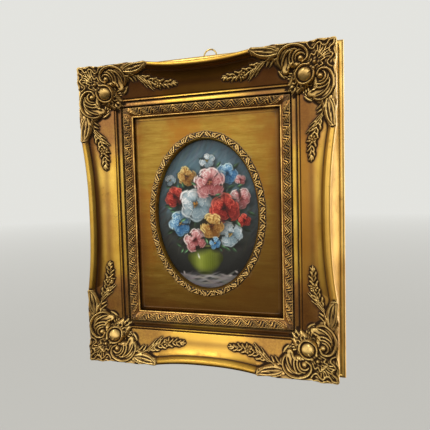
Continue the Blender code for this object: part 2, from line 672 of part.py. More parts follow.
def build():
    clear_scene()
    parts = new_collection("framed_oil_painting")
    cutters = new_collection("cutters", hidden=True)
    centre = bpy.data.objects.new("picture_centre", None)
    parts.objects.link(centre)
    centre.location = (-RING_OFFSET, -RING_PLANE, -NAIL_Z)

    gilt = material("antique_gold", (0.42, 0.25, 0.07), 0.42, 0.75)
    slip_gilt = material("bronzed_gold", (0.3, 0.17, 0.07), 0.45, 0.7)
    panel_gilt = material("brushed_gold", (0.45, 0.29, 0.08), 0.5, 0.7)
    paint = material("oil_paint", (0.09, 0.13, 0.15), 0.35, 0)
    brass = material("dull_brass", (0.45, 0.35, 0.16), 0.4, 0.9)
    steel = material("plated_steel", (0.5, 0.48, 0.42), 0.35, 0.9)

    frame = object_from("outer_frame", outer_frame_mesh(), parts, centre, gilt)
    reduce_to(frame, FRAME_TRIANGLES)
    slip = object_from("inner_slip", slip_mesh(), parts, centre, slip_gilt)
    reduce_to(slip, SLIP_TRIANGLES)
    panel = object_from("oval_panel", panel_mesh(), parts, centre, panel_gilt)
    reduce_to(panel, PANEL_TRIANGLES)
    board = SLIP_FLANGE_HALF
    box(
        "painting_board",
        (-board[0], BOARD_FRONT, -board[1]),
        (board[0], BOARD_FRONT + BOARD_THICKNESS, board[1]),
        parts,
        centre,
        paint,
    )
    build_strap(parts, cutters, centre, steel)
    build_screws(frame, parts, cutters, centre, steel)
    build_ring(parts, centre, brass)
    for obj in parts.objects:
        if obj.type == "MESH":
            obj.data.shade_smooth()
            obj.data.set_sharp_from_angle(angle=math.radians(35))


build()
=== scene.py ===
"""A small oil painting behind an oval mat panel, in a swept gilt frame that hangs from one ring.

Every piece is measured from the middle of the picture: x to the right, y the depth behind the tips of the corner
ornaments, z up. The carved pieces are fine lofts whose relief comes from strokes laid on a map.
"""

import math

import bpy
import numpy as np
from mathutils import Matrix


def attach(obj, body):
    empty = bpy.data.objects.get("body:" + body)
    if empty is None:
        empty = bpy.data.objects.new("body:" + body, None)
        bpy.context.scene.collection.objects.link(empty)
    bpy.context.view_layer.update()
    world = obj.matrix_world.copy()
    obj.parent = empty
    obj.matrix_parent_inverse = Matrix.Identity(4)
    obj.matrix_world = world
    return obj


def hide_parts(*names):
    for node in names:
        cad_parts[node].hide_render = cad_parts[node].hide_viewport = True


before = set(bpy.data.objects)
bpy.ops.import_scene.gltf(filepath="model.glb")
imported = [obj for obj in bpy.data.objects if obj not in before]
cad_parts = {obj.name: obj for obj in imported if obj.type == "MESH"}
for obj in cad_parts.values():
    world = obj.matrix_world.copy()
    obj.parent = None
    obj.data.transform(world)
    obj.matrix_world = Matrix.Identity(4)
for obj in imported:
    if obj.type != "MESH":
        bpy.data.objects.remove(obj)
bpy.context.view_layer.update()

MM = 0.001

# The picture's middle, seen from the world's origin inside the top of the hanging ring
CENTRE = np.array([-6, -49.7, -214.8]) * MM

# Sizes in millimetres, as half of the whole where a name ends in HALF
FRONT_HALF = (165, 198)
RAIL_WIDTH = 53
FRAME_DEPTH = 47
SWEEP_TOP = 6.6
SWEEP_SIDE = 8.3
SWEEP_START = 94
CORNER_RUFFLE = 2.2
BEAD_WIDTH = 8.5
BEAD_SET_BACK = 3
SCOOP_TOP_DEPTH = 8.5
SCOOP_FOOT_DEPTH = 21.3
SCOOP_STEADY = 0.72
BAND_WIDTH = 7
FILLET_WIDTH = 2.6
GROOVE_WIDTH = 1.4
BAND_DEPTH = 23.4
LIP_BACK = 28
RABBET_WIDTH = 4.2
BACK_LEDGE = 8
BACK_MOULDING_HEIGHT = 8.6
ORNAMENT_REACH = 138
ORNAMENT_TIP_DEPTH = 3
ORNAMENT_SLOPE = 0.16
ORNAMENT_BED = 2.5
SWELL_WIDTH = 22
SWELL_END = 54
SWELL_FALL = 12
SWELL_FALL_LENGTH = 24
BED_ROUND = 6

SLIP_HALF = (110.7, 143.7)
SLIP_WIDTH = 12.7
SLIP_FALL = 4.5
SLIP_ARCH = 1.8
SLIP_BEAD_WIDTH = 2.2
SLIP_PERIOD = 15
SLIP_PLACES = 21

PANEL_HALF = (101.7, 134.7)
PANEL_FRONT = 29.7
PANEL_BACK = 33.9
OVAL_HALF = (68.2, 97)
RIM_WIDTH = 10.6
RIM_HEIGHT = 3.2
RIM_LIP = 2.8
RIM_REPEATS = 26

BOARD_HALF = (115.9, 148.9)
BOARD_FRONT = 34.2
BOARD_BACK = 37.2

RING_PIVOT_Z = 200.5
RING_PLANE = 49.7
RING_WIDTH = 19
RING_HEIGHT = 15.4
RING_WIRE = 1.1
RING_OFFSET = 6


def smooth_line(points, pieces=8):
    """Points on a smooth curve through the given ones, and how far along each is, from 0 to 1."""
    points = np.array(points, float)
    ends = np.vstack([2 * points[0] - points[1], points, 2 * points[-1] - points[-2]])
    line = []
    for a, b, c, d in zip(ends[:-3], ends[1:-2], ends[2:-1], ends[3:]):
        for t in np.arange(pieces) / pieces:
            line.append(
                0.5 * (2 * b + (c - a) * t + (2 * a - 5 * b + 4 * c - d) * t**2 + (3 * b - a - 3 * c + d) * t**3)
            )
    line = np.array([*line, points[-1]])
    steps = np.linalg.norm(np.diff(line, axis=0), axis=1)
    along = np.concatenate([[0], np.cumsum(steps)]) / steps.sum()
    return line, along


def spread(points, count, smooth=True):
    """The given number of points, evenly spaced along a line through the given ones."""
    line, along = smooth_line(points) if smooth else (np.array(points, float), None)
    if along is None:
        steps = np.linalg.norm(np.diff(line, axis=0), axis=1)
        along = np.concatenate([[0], np.cumsum(steps)]) / steps.sum()
    even = np.linspace(0, 1, count)
    return np.stack([np.interp(even, along, line[:, k]) for k in range(2)], axis=1)


class Relief:
    """A map of how far carving stands forward, in millimetres, on a plane of u and v. Where a width to repeat is
    given, the map runs round in u."""

    def __init__(self, size, step, repeats=False):
        counts = [int(round(length / step)) + (0 if k == 0 and repeats else 1) for k, length in enumerate(size)]
        self.step = step
        self.repeats = size[0] if repeats else 0
        self.u, self.v = np.meshgrid(np.arange(counts[0]) * step, np.arange(counts[1]) * step, indexing="ij")
        self.rise = np.zeros(counts)
        self.cover = np.zeros(counts)

    def window(self, low, high):
        first = np.clip(np.floor(np.array(low) / self.step).astype(int), 0, None)
        last = np.clip(np.ceil(np.array(high) / self.step).astype(int) + 1, 0, None)
        return slice(first[0], last[0]), slice(first[1], last[1])

    def stroke(self, points, half_width, height, start=0.6, end=0.3, layer=None, flat=0.5):
        """A rounded ridge along a smooth line. start and end are its shares of the width at its two ends."""
        target = self.rise if layer is None else layer
        line, along = smooth_line(points)
        for shift in (-self.repeats, 0, self.repeats) if self.repeats else (0,):
            moved = line + (shift, 0)
            for a, b, t in zip(moved[:-1], moved[1:], along[:-1]):
                share = 1 - (1 - start) * (1 - t) ** 3 - (1 - end) * t**3
                width = half_width * share
                part = self.window(np.minimum(a, b) - width, np.maximum(a, b) + width)
                u, v = self.u[part], self.v[part]
                run = b - a
                nearest = np.clip(((u - a[0]) * run[0] + (v - a[1]) * run[1]) / (run @ run), 0, 1)
                distance = np.hypot(u - a[0] - nearest * run[0], v - a[1] - nearest * run[1])
                dome = np.clip(1 - (distance / width) ** 2, 0, 1) ** flat
                target[part] = np.maximum(target[part], height * (0.5 + 0.5 * share) * dome)

    def dome(self, centre, radius, height, layer=None):
        self.stroke([centre, (centre[0] + 0.02, centre[1])], radius, height, 1, 1, layer)

    def arc(self, centre, radius, first, last, half_width, height, start=1, end=1):
        turns = np.radians(np.linspace(first, last, 9))
        points = [(centre[0] + radius * math.cos(t), centre[1] + radius * math.sin(t)) for t in turns]
        self.stroke(points, half_width, height, start, end)

    def leaf(self, points, half_width, height, vein=True):
        """A leaf with a raised edge, pointed at its end, and a vein down its middle."""
        self.stroke(points, half_width, height, 0.5, 0.2)
        if vein and half_width > 1.3:
            line, along = smooth_line(points)
            for a, b, t in zip(line[1:-2], line[2:-1], along[1:-2]):
                cut = 0.42 * half_width * (1 - (2 * t - 1) ** 2)
                part = self.window(np.minimum(a, b) - cut, np.maximum(a, b) + cut)
                distance = np.hypot(self.u[part] - b[0], self.v[part] - b[1])
                dip = np.clip(1 - (distance / max(cut, 0.1)) ** 2, 0, 1)
                self.rise[part] = np.minimum(self.rise[part], height * (1 - 0.45 * dip))

    def mirror(self):
        self.rise = np.maximum(self.rise, self.rise.T)
        self.cover = np.maximum(self.cover, self.cover.T)

    def read(self, layer, u, v):
        a = u / self.step
        b = np.clip(v / self.step, 0, layer.shape[1] - 1.001)
        if self.repeats:
            i = np.floor(a).astype(int)
            s = a - i
            i, after = i % len(layer), (i + 1) % len(layer)
        else:
            a = np.clip(a, 0, len(layer) - 1.001)
            i = a.astype(int)
            s = a - i
            after = i + 1
        j = b.astype(int)
        t = b - j
        return (
            layer[i, j] * (1 - s) * (1 - t)
            + layer[after, j] * s * (1 - t)
            + layer[i, j + 1] * (1 - s) * t
            + layer[after, j + 1] * s * t
        )


def spread_cover(relief):
    """Where the carving has its own bed instead of the plain rail, from 0 to 1."""
    cover = relief.cover
    relief.stroke([(8, 8), (22, 22), (38, 38), (48, 48)], 15, 1.6, 0.9, 0.6, cover)
    relief.stroke([(12, 6), (34, 13), (52, 15), (60, 15)], 13, 1.6, 0.7, 0.9, cover)
    relief.stroke([(57, 25), (58, 30)], 4.6, 1.6, 1, 0.7, cover)
    relief.stroke([(62, 11), (80, 9), (96, 5)], 7, 1.6, 1, 0.5, cover)
    np.clip(cover, 0, 1, out=cover)


def carve_volute(relief):
    """A C-scroll that winds round a bead, with ribs that fan out inside it."""
    rim = [(38.5, 22.5), (33.2, 19), (32.8, 12), (39, 6), (50, 3.8), (60.5, 7.5), (66, 15), (66, 21.5), (63.6, 26.2)]
    ball = (40.2, 18.6)
    relief.stroke(rim, 1.6, 3, 0.7, 0.6)
    relief.stroke([(62.2, 26.5), (60.6, 18.6), (56.2, 11.8), (49.6, 8.6), (44, 8.6)], 1.35, 2.5, 0.6, 0.3)
    relief.arc(ball, 5.9, -150, 10, 1.15, 2.3, 0.5, 0.6)
    relief.arc(ball, 9, -95, 28, 1.25, 2.4, 0.3, 0.6)
    relief.arc(ball, 12.8, -62, 34, 1.3, 2.4, 0.3, 0.5)
    relief.leaf([(49, 22), (52.5, 24), (55.5, 28.5)], 1.9, 2.3)
    relief.dome(ball, 3.2, 3.6)


def carve_cartouche(relief):
    """A round boss in a ring that opens towards the tip, where three pearls lie."""
    centre = (36.3, 36.3)
    relief.arc(centre, 10.6, -118, 45, 1.35, 3, 0.8, 1)
    relief.dome(centre, 7.6, 2.6)
    relief.dome((31.2, 25.8), 2, 3.2)
    relief.dome((24.6, 24.6), 2.2, 3.3)
    relief.stroke([(33.5, 29.8), (36, 32.2)], 1, 2.9, 0.8, 0.6)
    for k in range(3):
        start = (49.4 + 0.6 * k, 33 + 2.7 * k)
        relief.stroke([start, (start[0] + 5, start[1] - 1.2 + 0.3 * k)], 1.2, 1.2, 0.8, 0.5)
    relief.arc((48.2, 42.6), 2.5, 40, 310, 1.05, 2.2, 0.8, 0.5)
    relief.arc((50.6, 50.6), 3, -60, 300, 1.15, 2.4, 1, 0.4)
    relief.dome((50.6, 50.6), 1.2, 2)
    relief.stroke([(46, 30.5), (48.2, 35), (46.6, 38)], 0.85, 1.7, 0.5, 0.5)
    relief.stroke([(44.6, 24.6), (48.4, 29.5), (48.6, 33)], 0.8, 1.6, 0.5, 0.5)


def carve_shell(relief):
    """The ruffled shell at the corner's tip, with a rolled wavy edge and ribs that spread from the pearls."""
    ruffle = [(32.5, 5.2), (29.4, 9.4), (25.5, 10.2), (22.5, 6.6), (18.6, 4.6), (15, 8.4), (11, 7.6), (8, 3.8), (3, 2.6)]
    relief.stroke(ruffle, 1.1, 2.2, 0.7, 0.9)
    relief.stroke([(31, 1.6), (25, 3.4), (21, 1.2), (13.5, 3), (9.5, 0.8)], 0.9, 1.5, 0.5, 0.6)
    ribbon = [(30.5, 20.5), (28, 15.5), (24.6, 17.6), (22, 13.4), (18.4, 16.2), (17.2, 17.2)]
    relief.stroke(ribbon, 1.0, 2.1, 0.6, 1)
    for angle, length in ((193, 18), (202, 20), (211, 21.5), (220, 21)):
        turn = math.radians(angle)
        start = (25 + 9 * math.cos(turn), 25 + 9 * math.sin(turn))
        middle = (25 + 0.5 * (9 + length) * math.cos(turn + 0.08), 25 + 0.5 * (9 + length) * math.sin(turn + 0.08))
        end = (25 + length * math.cos(turn), 25 + length * math.sin(turn))
        relief.stroke([start, middle, end], 0.8, 1.4, 0.5, 0.8)
    relief.stroke([(27.5, 21), (29.5, 24.5)], 0.8, 1.8)
    relief.stroke([(20, 21.2), (15.5, 19.5), (11.5, 15.8)], 0.85, 1.6, 0.5, 0.5)


def carve_leaves(relief):
    """Leaves along the outer edge, up to the small collar where the bead starts."""
    relief.stroke([(66, 9), (80, 8.6), (95, 5.4)], 5, 0.7, 0.8, 0.6)
    relief.leaf([(67, 8.6), (74, 5.6), (84, 4), (95.5, 3.2)], 1.3, 2)
    relief.stroke([(68, 5), (77, 2.4), (86, 1.2)], 0.9, 1.6, 0.5, 0.4)
    relief.leaf([(67, 11.4), (78, 12.8), (89, 10.6), (96.5, 5.4)], 1.5, 2.2)
    relief.stroke([(72, 9.6), (82, 8.4), (92, 6.4)], 0.8, 1.7, 0.4, 0.4)
    relief.leaf([(68, 12), (75, 14.5), (80.5, 22.5)], 1.7, 2.3)
    relief.leaf([(67.4, 16), (72, 18), (76.3, 23.2)], 1.3, 2, vein=False)
    relief.stroke([(71, 12.8), (78.5, 16), (83.5, 17.5)], 0.9, 1.8, 0.5, 0.5)
    relief.leaf([(66, 28.4), (63.4, 33), (59.3, 37)], 1.5, 2.2)
    relief.stroke([(63.3, 29), (60.5, 33.4), (56.6, 36)], 0.9, 1.8, 0.6, 0.5)
    relief.leaf([(68, 1.6), (61.4, 2.6), (54, 1.4)], 1.1, 1.6, vein=False)
    relief.stroke([(95.8, 0.6), (97.4, 5), (96.2, 9.6)], 0.9, 1.5, 0.8, 0.6)


def carve_sprig(relief):
    """A sprig of leaves with one daisy that lies in the hollow of the rail."""
    stem = [(82.5, 17), (93, 22), (105, 27), (117, 29.5), (134, 29.8)]
    line, along = smooth_line(stem)

    def at(share, across):
        place = np.array([np.interp(share, along, line[:, k]) for k in (0, 1)])
        ahead = np.array([np.interp(min(share + 0.02, 1), along, line[:, k]) for k in (0, 1)])
        run = ahead - place if share < 1 else line[-1] - line[-2]
        run = run / np.linalg.norm(run)
        return place + across * np.array([-run[1], run[0]])

    relief.stroke(stem, 0.7, 1.1, 0.8, 0.4)
    for number, share in enumerate(np.linspace(0.1, 0.9, 9)):
        reach = 4.5 * math.sin(math.pi * (0.12 + 0.88 * share**0.8)) ** 0.7 + 0.7
        for side in (-1, 1):
            longer = 1 + 0.16 * side * (-1) ** number
            foot, tip = at(share, side * 0.6), at(min(share + 0.11, 1), side * reach * longer)
            middle = 0.5 * (foot + tip) + (tip - foot)[::-1] * (0.12, -0.12)
            relief.stroke([foot, middle, tip], 1.25 + 0.2 * (number % 2), 2.1 + 0.5 * (number % 2), 0.4, 0.6)
    flower = at(0.56, 0)
    for k in range(7):
        turn = 2 * math.pi * k / 7 + 0.2
        petal = flower + 4.2 * np.array([math.cos(turn), math.sin(turn)])
        relief.stroke([flower + 0.5 * (petal - flower), petal], 1.35, 3, 0.5, 1)
    relief.dome(flower, 1.7, 3.6)
    relief.stroke([at(0.9, 0), (136, 29.8)], 1.2, 1.8, 0.8, 0.4)
    relief.leaf([(83, 17), (91, 23.5), (97, 30), (102.5, 36)], 1.25, 2.1)
    relief.stroke([(84, 16.2), (92.5, 21.6), (99.5, 29.5), (104, 34)], 0.75, 1.8, 0.6, 0.3)
    relief.stroke([(82, 18), (88.5, 24.5), (94, 31.5)], 0.8, 1.7, 0.6, 0.4)


def corner_relief():
    relief = Relief((ORNAMENT_REACH, ORNAMENT_REACH), 0.3)
    spread_cover(relief)
    carve_volute(relief)
    carve_cartouche(relief)
    carve_shell(relief)
    carve_leaves(relief)
    carve_sprig(relief)
    relief.mirror()
    return relief


def softened(layer, rounds):
    """The layer with each cell averaged with its neighbours, again and again."""
    for _ in range(rounds):
        padded = np.pad(layer, 1, mode="edge")
        layer = (padded[:-2, 1:-1] + padded[2:, 1:-1] + padded[1:-1, :-2] + padded[1:-1, 2:]) / 4
    return layer


def sweep_at(run, half_length, sweep):
    """How far the outer edge has curved inwards, at a distance from the corner along the rail."""
    leaf_ends = (0, 2.5, 9, 18, 29, 41, 56, 72, 80, 94)
    dips = (0.5, 0.1, 0.45, 0, 1, 0.2, 0.35, 0, 0.8, 0.45)
    share = np.clip((run - SWEEP_START) / (half_length - SWEEP_START), 0, 1)
    carved = CORNER_RUFFLE * np.interp(run, leaf_ends, dips)
    return carved + (sweep - 0.45 * CORNER_RUFFLE) * (1 - (1 - share) ** 2.5)


def rail_section(dip):
    """The rail's closed outline (inset, depth), how many of its points are carved front, and which are gilt."""
    bead = [(dip, BEAD_SET_BACK + 3.2)]
    for share, back in ((0.05, 1.4), (0.14, 0.6), (0.25, 0.15), (0.4, 0), (0.58, 0.25), (0.76, 1.1), (0.92, 2.7)):
        bead.append((dip + share * BEAD_WIDTH, BEAD_SET_BACK + back))
    foot = dip + BEAD_WIDTH + 1.2
    bead.append((foot - 0.5, SCOOP_TOP_DEPTH - 1))
    scoop_end = RAIL_WIDTH - BAND_WIDTH - FILLET_WIDTH - GROOVE_WIDTH
    t = np.linspace(0, 1, 54)
    fall = SCOOP_STEADY * t + (1 - SCOOP_STEADY) * (1 - (1 - t) ** 4)
    scoop = np.stack(
        [foot + t * (scoop_end - foot), SCOOP_TOP_DEPTH + fall * (SCOOP_FOOT_DEPTH - SCOOP_TOP_DEPTH)], axis=1
    )
    fillet = scoop_end + GROOVE_WIDTH
    band = fillet + FILLET_WIDTH
    inner = [
        (scoop_end + 0.3, SCOOP_FOOT_DEPTH + 0.5),
        (scoop_end + 0.7, SCOOP_FOOT_DEPTH + 0.8),
        (scoop_end + 1.1, SCOOP_FOOT_DEPTH + 0.5),
        (fillet, SCOOP_FOOT_DEPTH + 0.2),
        (fillet + 0.5, SCOOP_FOOT_DEPTH - 0.05),
        (fillet + 1.3, SCOOP_FOOT_DEPTH - 0.3),
        (band - 0.9, SCOOP_FOOT_DEPTH - 0.4),
        (band - 0.45, SCOOP_FOOT_DEPTH + 0.5),
        (band - 0.3, BAND_DEPTH - 0.3),
        (band + 0.1, BAND_DEPTH - 0.2),
        (band + 1.4, BAND_DEPTH - 0.45),
        (band + 3.4, BAND_DEPTH - 0.85),
        (RAIL_WIDTH - 1.6, BAND_DEPTH - 1.2),
        (RAIL_WIDTH - 0.8, BAND_DEPTH - 1.2),
        (RAIL_WIDTH - 0.2, BAND_DEPTH - 0.7),
    ]
    front = np.concatenate([spread(bead, 20), scoop, np.array(inner)])
    rabbet = RAIL_WIDTH - RABBET_WIDTH
    ledge = FRAME_DEPTH - BACK_MOULDING_HEIGHT
    hidden = [
        (RAIL_WIDTH, BAND_DEPTH + 0.7),
        (RAIL_WIDTH, LIP_BACK),
        (rabbet, LIP_BACK),
        (rabbet, FRAME_DEPTH - 0.15),
        (rabbet - 0.15, FRAME_DEPTH),
        (-BACK_LEDGE + 0.3, FRAME_DEPTH),
        (-BACK_LEDGE, FRAME_DEPTH - 0.3),
    ]
    moulding = [
        (-BACK_LEDGE, ledge + 3.4),
        (-0.9 * BACK_LEDGE, ledge + 1.2),
        (-0.66 * BACK_LEDGE, ledge + 0.2),
        (-0.4 * BACK_LEDGE, ledge),
        (-0.3 * BACK_LEDGE, ledge + 1),
        (-0.25 * BACK_LEDGE, ledge - 0.6),
        (-0.15 * BACK_LEDGE, ledge - 1.6),
    ]
    start, end = ledge - 2, BEAD_SET_BACK + 3.4
    t = np.arange(12) / 12
    side = np.stack([dip + (-0.12 * BACK_LEDGE - dip) * (1 - t) ** 2.2, start + t * (end - start)], axis=1)
    outline = np.concatenate([front, hidden, moulding, side])
    bare = np.zeros(len(outline), bool)
    bare[len(front) : len(front) + len(hidden)] = True
    return outline, len(front), bare


def bed_depth(u, v, rail_depth):
    """Depth of the surface that the corner's carving stands on: thick on the diagonal, thin along the rails."""
    level = np.maximum(rail_depth, SCOOP_TOP_DEPTH - 0.45 * (BEAD_WIDTH + 1.2 - np.minimum(u, v)))
    inset = (u + v - np.hypot(u - v, BED_ROUND)) / 2
    fall = np.clip((inset - SWELL_END + SWELL_FALL_LENGTH) / SWELL_FALL_LENGTH, 0, 1)
    swell = ORNAMENT_TIP_DEPTH + ORNAMENT_SLOPE * inset + SWELL_FALL * fall**2 * (3 - 2 * fall)
    share = np.exp(-(((u - v) / SWELL_WIDTH) ** 2))
    return share * swell + (1 - share) * (level - ORNAMENT_BED)


def grid_normals(points, closed_across):
    """Unit normals of a grid of points; the second direction may run round."""
    if closed_across:
        across = np.roll(points, -1, axis=1) - np.roll(points, 1, axis=1)
    else:
        across = np.gradient(points, axis=1)
    along = np.gradient(points, axis=0)
    normals = np.cross(along, across)
    lengths = np.linalg.norm(normals, axis=2, keepdims=True)
    return normals / np.maximum(lengths, 1e-12)


def hollowness(points, normals, rounds):
    """How far each point lies behind the average of those around it: positive in a hollow, negative on an edge."""
    average = points
    for _ in range(rounds):
        padded = np.concatenate([average[:1], average, average[-1:]])
        average = (padded[:-2] + padded[2:] + np.roll(average, 1, axis=1) + np.roll(average, -1, axis=1)) / 4
    return ((average - points) * normals).sum(axis=2)


def grid_mesh(name, points, values, closed_along=False, bare=None, flipped=False):
    """An object from a grid of points whose second direction runs round, with a number per point for each name in
    values. The faces between bare points take the second material."""
    rows, columns = points.shape[:2]
    index = np.arange(rows * columns).reshape(rows, columns)
    here = index if closed_along else index[:-1]
    after = np.roll(index, -1, axis=0) if closed_along else index[1:]
    corners = [here, np.roll(here, -1, axis=1), np.roll(after, -1, axis=1), after]
    faces = np.stack(corners, axis=2).reshape(-1, 4)
    if flipped:
        faces = faces[:, ::-1]
    mesh = bpy.data.meshes.new(name)
    mesh.from_pydata((points.reshape(-1, 3) * MM + CENTRE).tolist(), [], faces.tolist())
    for label, number in values.items():
        layer = mesh.attributes.new(label, "FLOAT", "POINT")
        layer.data.foreach_set("value", np.ascontiguousarray(number, np.float32).reshape(-1))
    if bare is not None:
        second = np.broadcast_to(bare & np.roll(bare, -1), here.shape).astype(np.int32)
        mesh.polygons.foreach_set("material_index", np.ascontiguousarray(second).reshape(-1))
    mesh.shade_smooth()
    made = bpy.data.objects.new(name, mesh)
    bpy.context.scene.collection.objects.link(made)
    return made


def quarter_frame(relief):
    """A quarter of the frame, round its corner in the positive x and z directions."""
    runs = np.concatenate([np.arange(0, 100, 0.55), np.arange(100, ORNAMENT_REACH, 0.75)])
    raised = (relief.rise > 0.4).astype(float)[::2, ::2]
    wide_cover, close_cover = softened(raised, 150), softened(raised, 24)
    rows = []
    for k, half in enumerate(FRONT_HALF):
        stations = np.concatenate([runs, np.linspace(ORNAMENT_REACH, half, 9)])
        sweep = (SWEEP_TOP, SWEEP_SIDE)[k]
        for run in stations:
            outline, _, bare = rail_section(float(sweep_at(run, half, sweep)))
            share = 1 - run / half
            long_way = share * (FRONT_HALF[k] - outline[:, 0])
            out = FRONT_HALF[1 - k] - outline[:, 0]
            x, z = (long_way, out) if k == 0 else (out, long_way)
            rows.append((k, run, np.stack([x, outline[:, 1], z], axis=1)))
    top = [row for row in rows if row[0] == 0][::-1]
    side = [row for row in rows if row[0] == 1][1:]
    points = np.array([row[2] for row in top + side])
    _, front_count, bare = rail_section(0)
    front = points[:, :front_count]
    u = FRONT_HALF[0] - front[:, :, 0]
    v = FRONT_HALF[1] - front[:, :, 2]
    cover = relief.read(relief.cover, u, v)
    rail_depth = front[:, :, 1]
    bedded = rail_depth + cover * np.minimum(bed_depth(u, v, rail_depth) - rail_depth, 1)
    front[:, :, 1] = np.clip(bedded - relief.read(relief.rise, u, v), 0.8, None)
    normals = grid_normals(points, True)
    if normals[:, 30, 1].mean() > 0:
        normals = -normals
    # How far each point lies in a hollow or on an edge; the gold paints shade into the hollows and highlights onto the
    # edges.
    fine = hollowness(points, normals, 9)
    broad = hollowness(points, normals, 40)
    moulding_end = points.shape[1] - 12
    fine[:, front_count:moulding_end] *= 0.28
    fine[:, moulding_end:] = 0
    broad[:, front_count:] = 0
    outside = np.zeros(points.shape[:2])
    outside[:, front_count:] = 1
    outside[:, :4] = (1, 0.9, 0.6, 0.25)
    broad[:, :front_count] *= np.clip((54 - np.minimum(u, v)) / 16, 0, 1) * np.clip(np.minimum(u, v) / 14, 0.2, 1)
    scoop_end = RAIL_WIDTH - BAND_WIDTH - FILLET_WIDTH - GROOVE_WIDTH
    inset = np.minimum(u, v)
    band_start = RAIL_WIDTH - BAND_WIDTH
    # Painted shade: dark lines added along the groove at the scoop's end, the band's edge and the rail's inner edge
    # against the slip.
    for middle, reach, dark in ((scoop_end + 0.6, 1.5, 0.05), (band_start - 0.2, 0.8, 0.045), (RAIL_WIDTH, 0.8, 0.4)):
        line = dark * np.clip(1.5 - abs(inset - middle) / reach, 0, 1)
        fine[:, :front_count] = np.maximum(fine[:, :front_count], line)
    carved = np.zeros(points.shape[:2])
    near = np.zeros(points.shape[:2])
    carved[:, :front_count] = np.clip(np.maximum(cover * 1.2, relief.read(relief.rise, u, v)), 0, 1)
    # Where the gold darkens, partly as patina and partly as painted shade: foot on the bead's flanks, the scoop just
    # inside the bead and the inner band; hem beside the bead, for the left rail.
    foot = np.zeros(points.shape[:2])
    from_foot = np.arange(front_count) - 21
    flank = 0.27 + 0.6 * np.clip(1 + from_foot / 6, 0, 1)
    foot[:, :front_count] = np.where(from_foot < 0, flank, np.exp(-np.clip(from_foot, 0, None) * 0.62 / 3))
    hem = np.zeros(points.shape[:2])
    hem[:, :front_count] = np.where(from_foot < -2, 0, 1 / (1 + (np.clip(from_foot, 0, None) * 0.62 / 5.5) ** 4))
    foot[:, front_count - 9 : front_count] = 0.2
    level = np.zeros(points.shape[:2])
    level[: len(top)] = 1
    coarse = Relief((ORNAMENT_REACH, ORNAMENT_REACH), 0.6)
    reach = np.clip((124 - np.maximum(u, v)) / 40, 0, 1)
    near[:, :front_count] = np.maximum(coarse.read(wide_cover, u, v), reach * np.clip(inset / 14 - 0.5, 0, 1))
    # Painted shade: a dark ring close round the raised carving.
    shade_round_carving = np.zeros(points.shape[:2])
    shade_round_carving[:, :front_count] = coarse.read(close_cover, u, v)
    values = {
        "shade_round_carving": shade_round_carving,
        "hem": hem,
        "hollow": np.clip(fine / 0.35, -1, 1),
        "deep": np.clip(broad / 1.4, -1, 1),
        "carved": carved,
        "near": near,
        "foot": foot,
        "outside": outside,
        "level": level,
    }
    return points, values, bare


def build_frame():
    points, values, bare = quarter_frame(corner_relief())
    for name, side, up in (
        ("frame_top_right", 1, 1),
        ("frame_top_left", -1, 1),
        ("frame_bottom_left", -1, -1),
        ("frame_bottom_right", 1, -1),
    ):
        piece = grid_mesh(name, points * (side, 1, up), values, bare=bare, flipped=side * up > 0)
        piece.data.materials.append(bpy.data.materials["antique_gold_leaf"])
        piece.data.materials.append(bpy.data.materials["stained_wood"])
        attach(piece, "picture")
        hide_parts("outer_frame")


def rectangle_ring(half, outline_at, places_at):
    """Points of a closed moulding round a rectangle, mitred at its corners. outline_at gives a closed outline of
    (inset, depth) from the distance to the nearest corner and the side's half length."""
    sides = []
    for k in range(4):
        lengths = half if k % 2 == 0 else half[::-1]
        for place in places_at(lengths[0]):
            outline = outline_at((1 - abs(place)) * lengths[0], lengths[0])
            along = place * (lengths[0] - outline[:, 0])
            out = lengths[1] - outline[:, 0]
            x, z = ((along, out), (out, -along), (-along, -out), (-out, along))[k]
            sides.append(np.stack([x, outline[:, 1], z], axis=1))
    return np.array(sides)


def slip_turn(run, half_length):
    """How far in the slip's zigzag reaches at a distance from the corner, in millimetres."""
    repeats = max(1, round(half_length / SLIP_PERIOD))
    return SLIP_PERIOD / 2 * abs(2 * (run / half_length * repeats % 1) - 1)


def slip_height(run, half_length, across):
    """The slip's carving: slanting bars that turn at every V and every peak, and a leaf on each mitre."""
    width = SLIP_WIDTH - SLIP_BEAD_WIDTH
    turn = slip_turn(run, half_length)
    slanted = (turn - across * 1.0 + 0.25 * math.sin(0.31 * run)) / 3.7
    bars = np.clip(np.cos(2 * math.pi * slanted) * 1.5 + 0.1, -1, 1)
    edge = np.clip(np.minimum(across - 1, width - 1.4 - across) / 0.8, 0, 1)
    sunk = np.clip((turn * 1.3 - across) / 1.5, 0, 1)
    carving = (0.95 * bars - 0.8 * sunk) * edge
    leaf = np.clip(1 - np.abs(run - across) / 1.5, 0, 1)
    ribs = np.clip(np.cos(2 * math.pi * (run + across) / 4.2), 0, 1) * np.clip(1 - np.abs(run - across) / 5, 0, 1)
    near_corner = np.clip((11 - run) / 2, 0, 1)
    return carving * (1 - near_corner) + near_corner * edge * (0.9 * leaf + 0.6 * ribs)


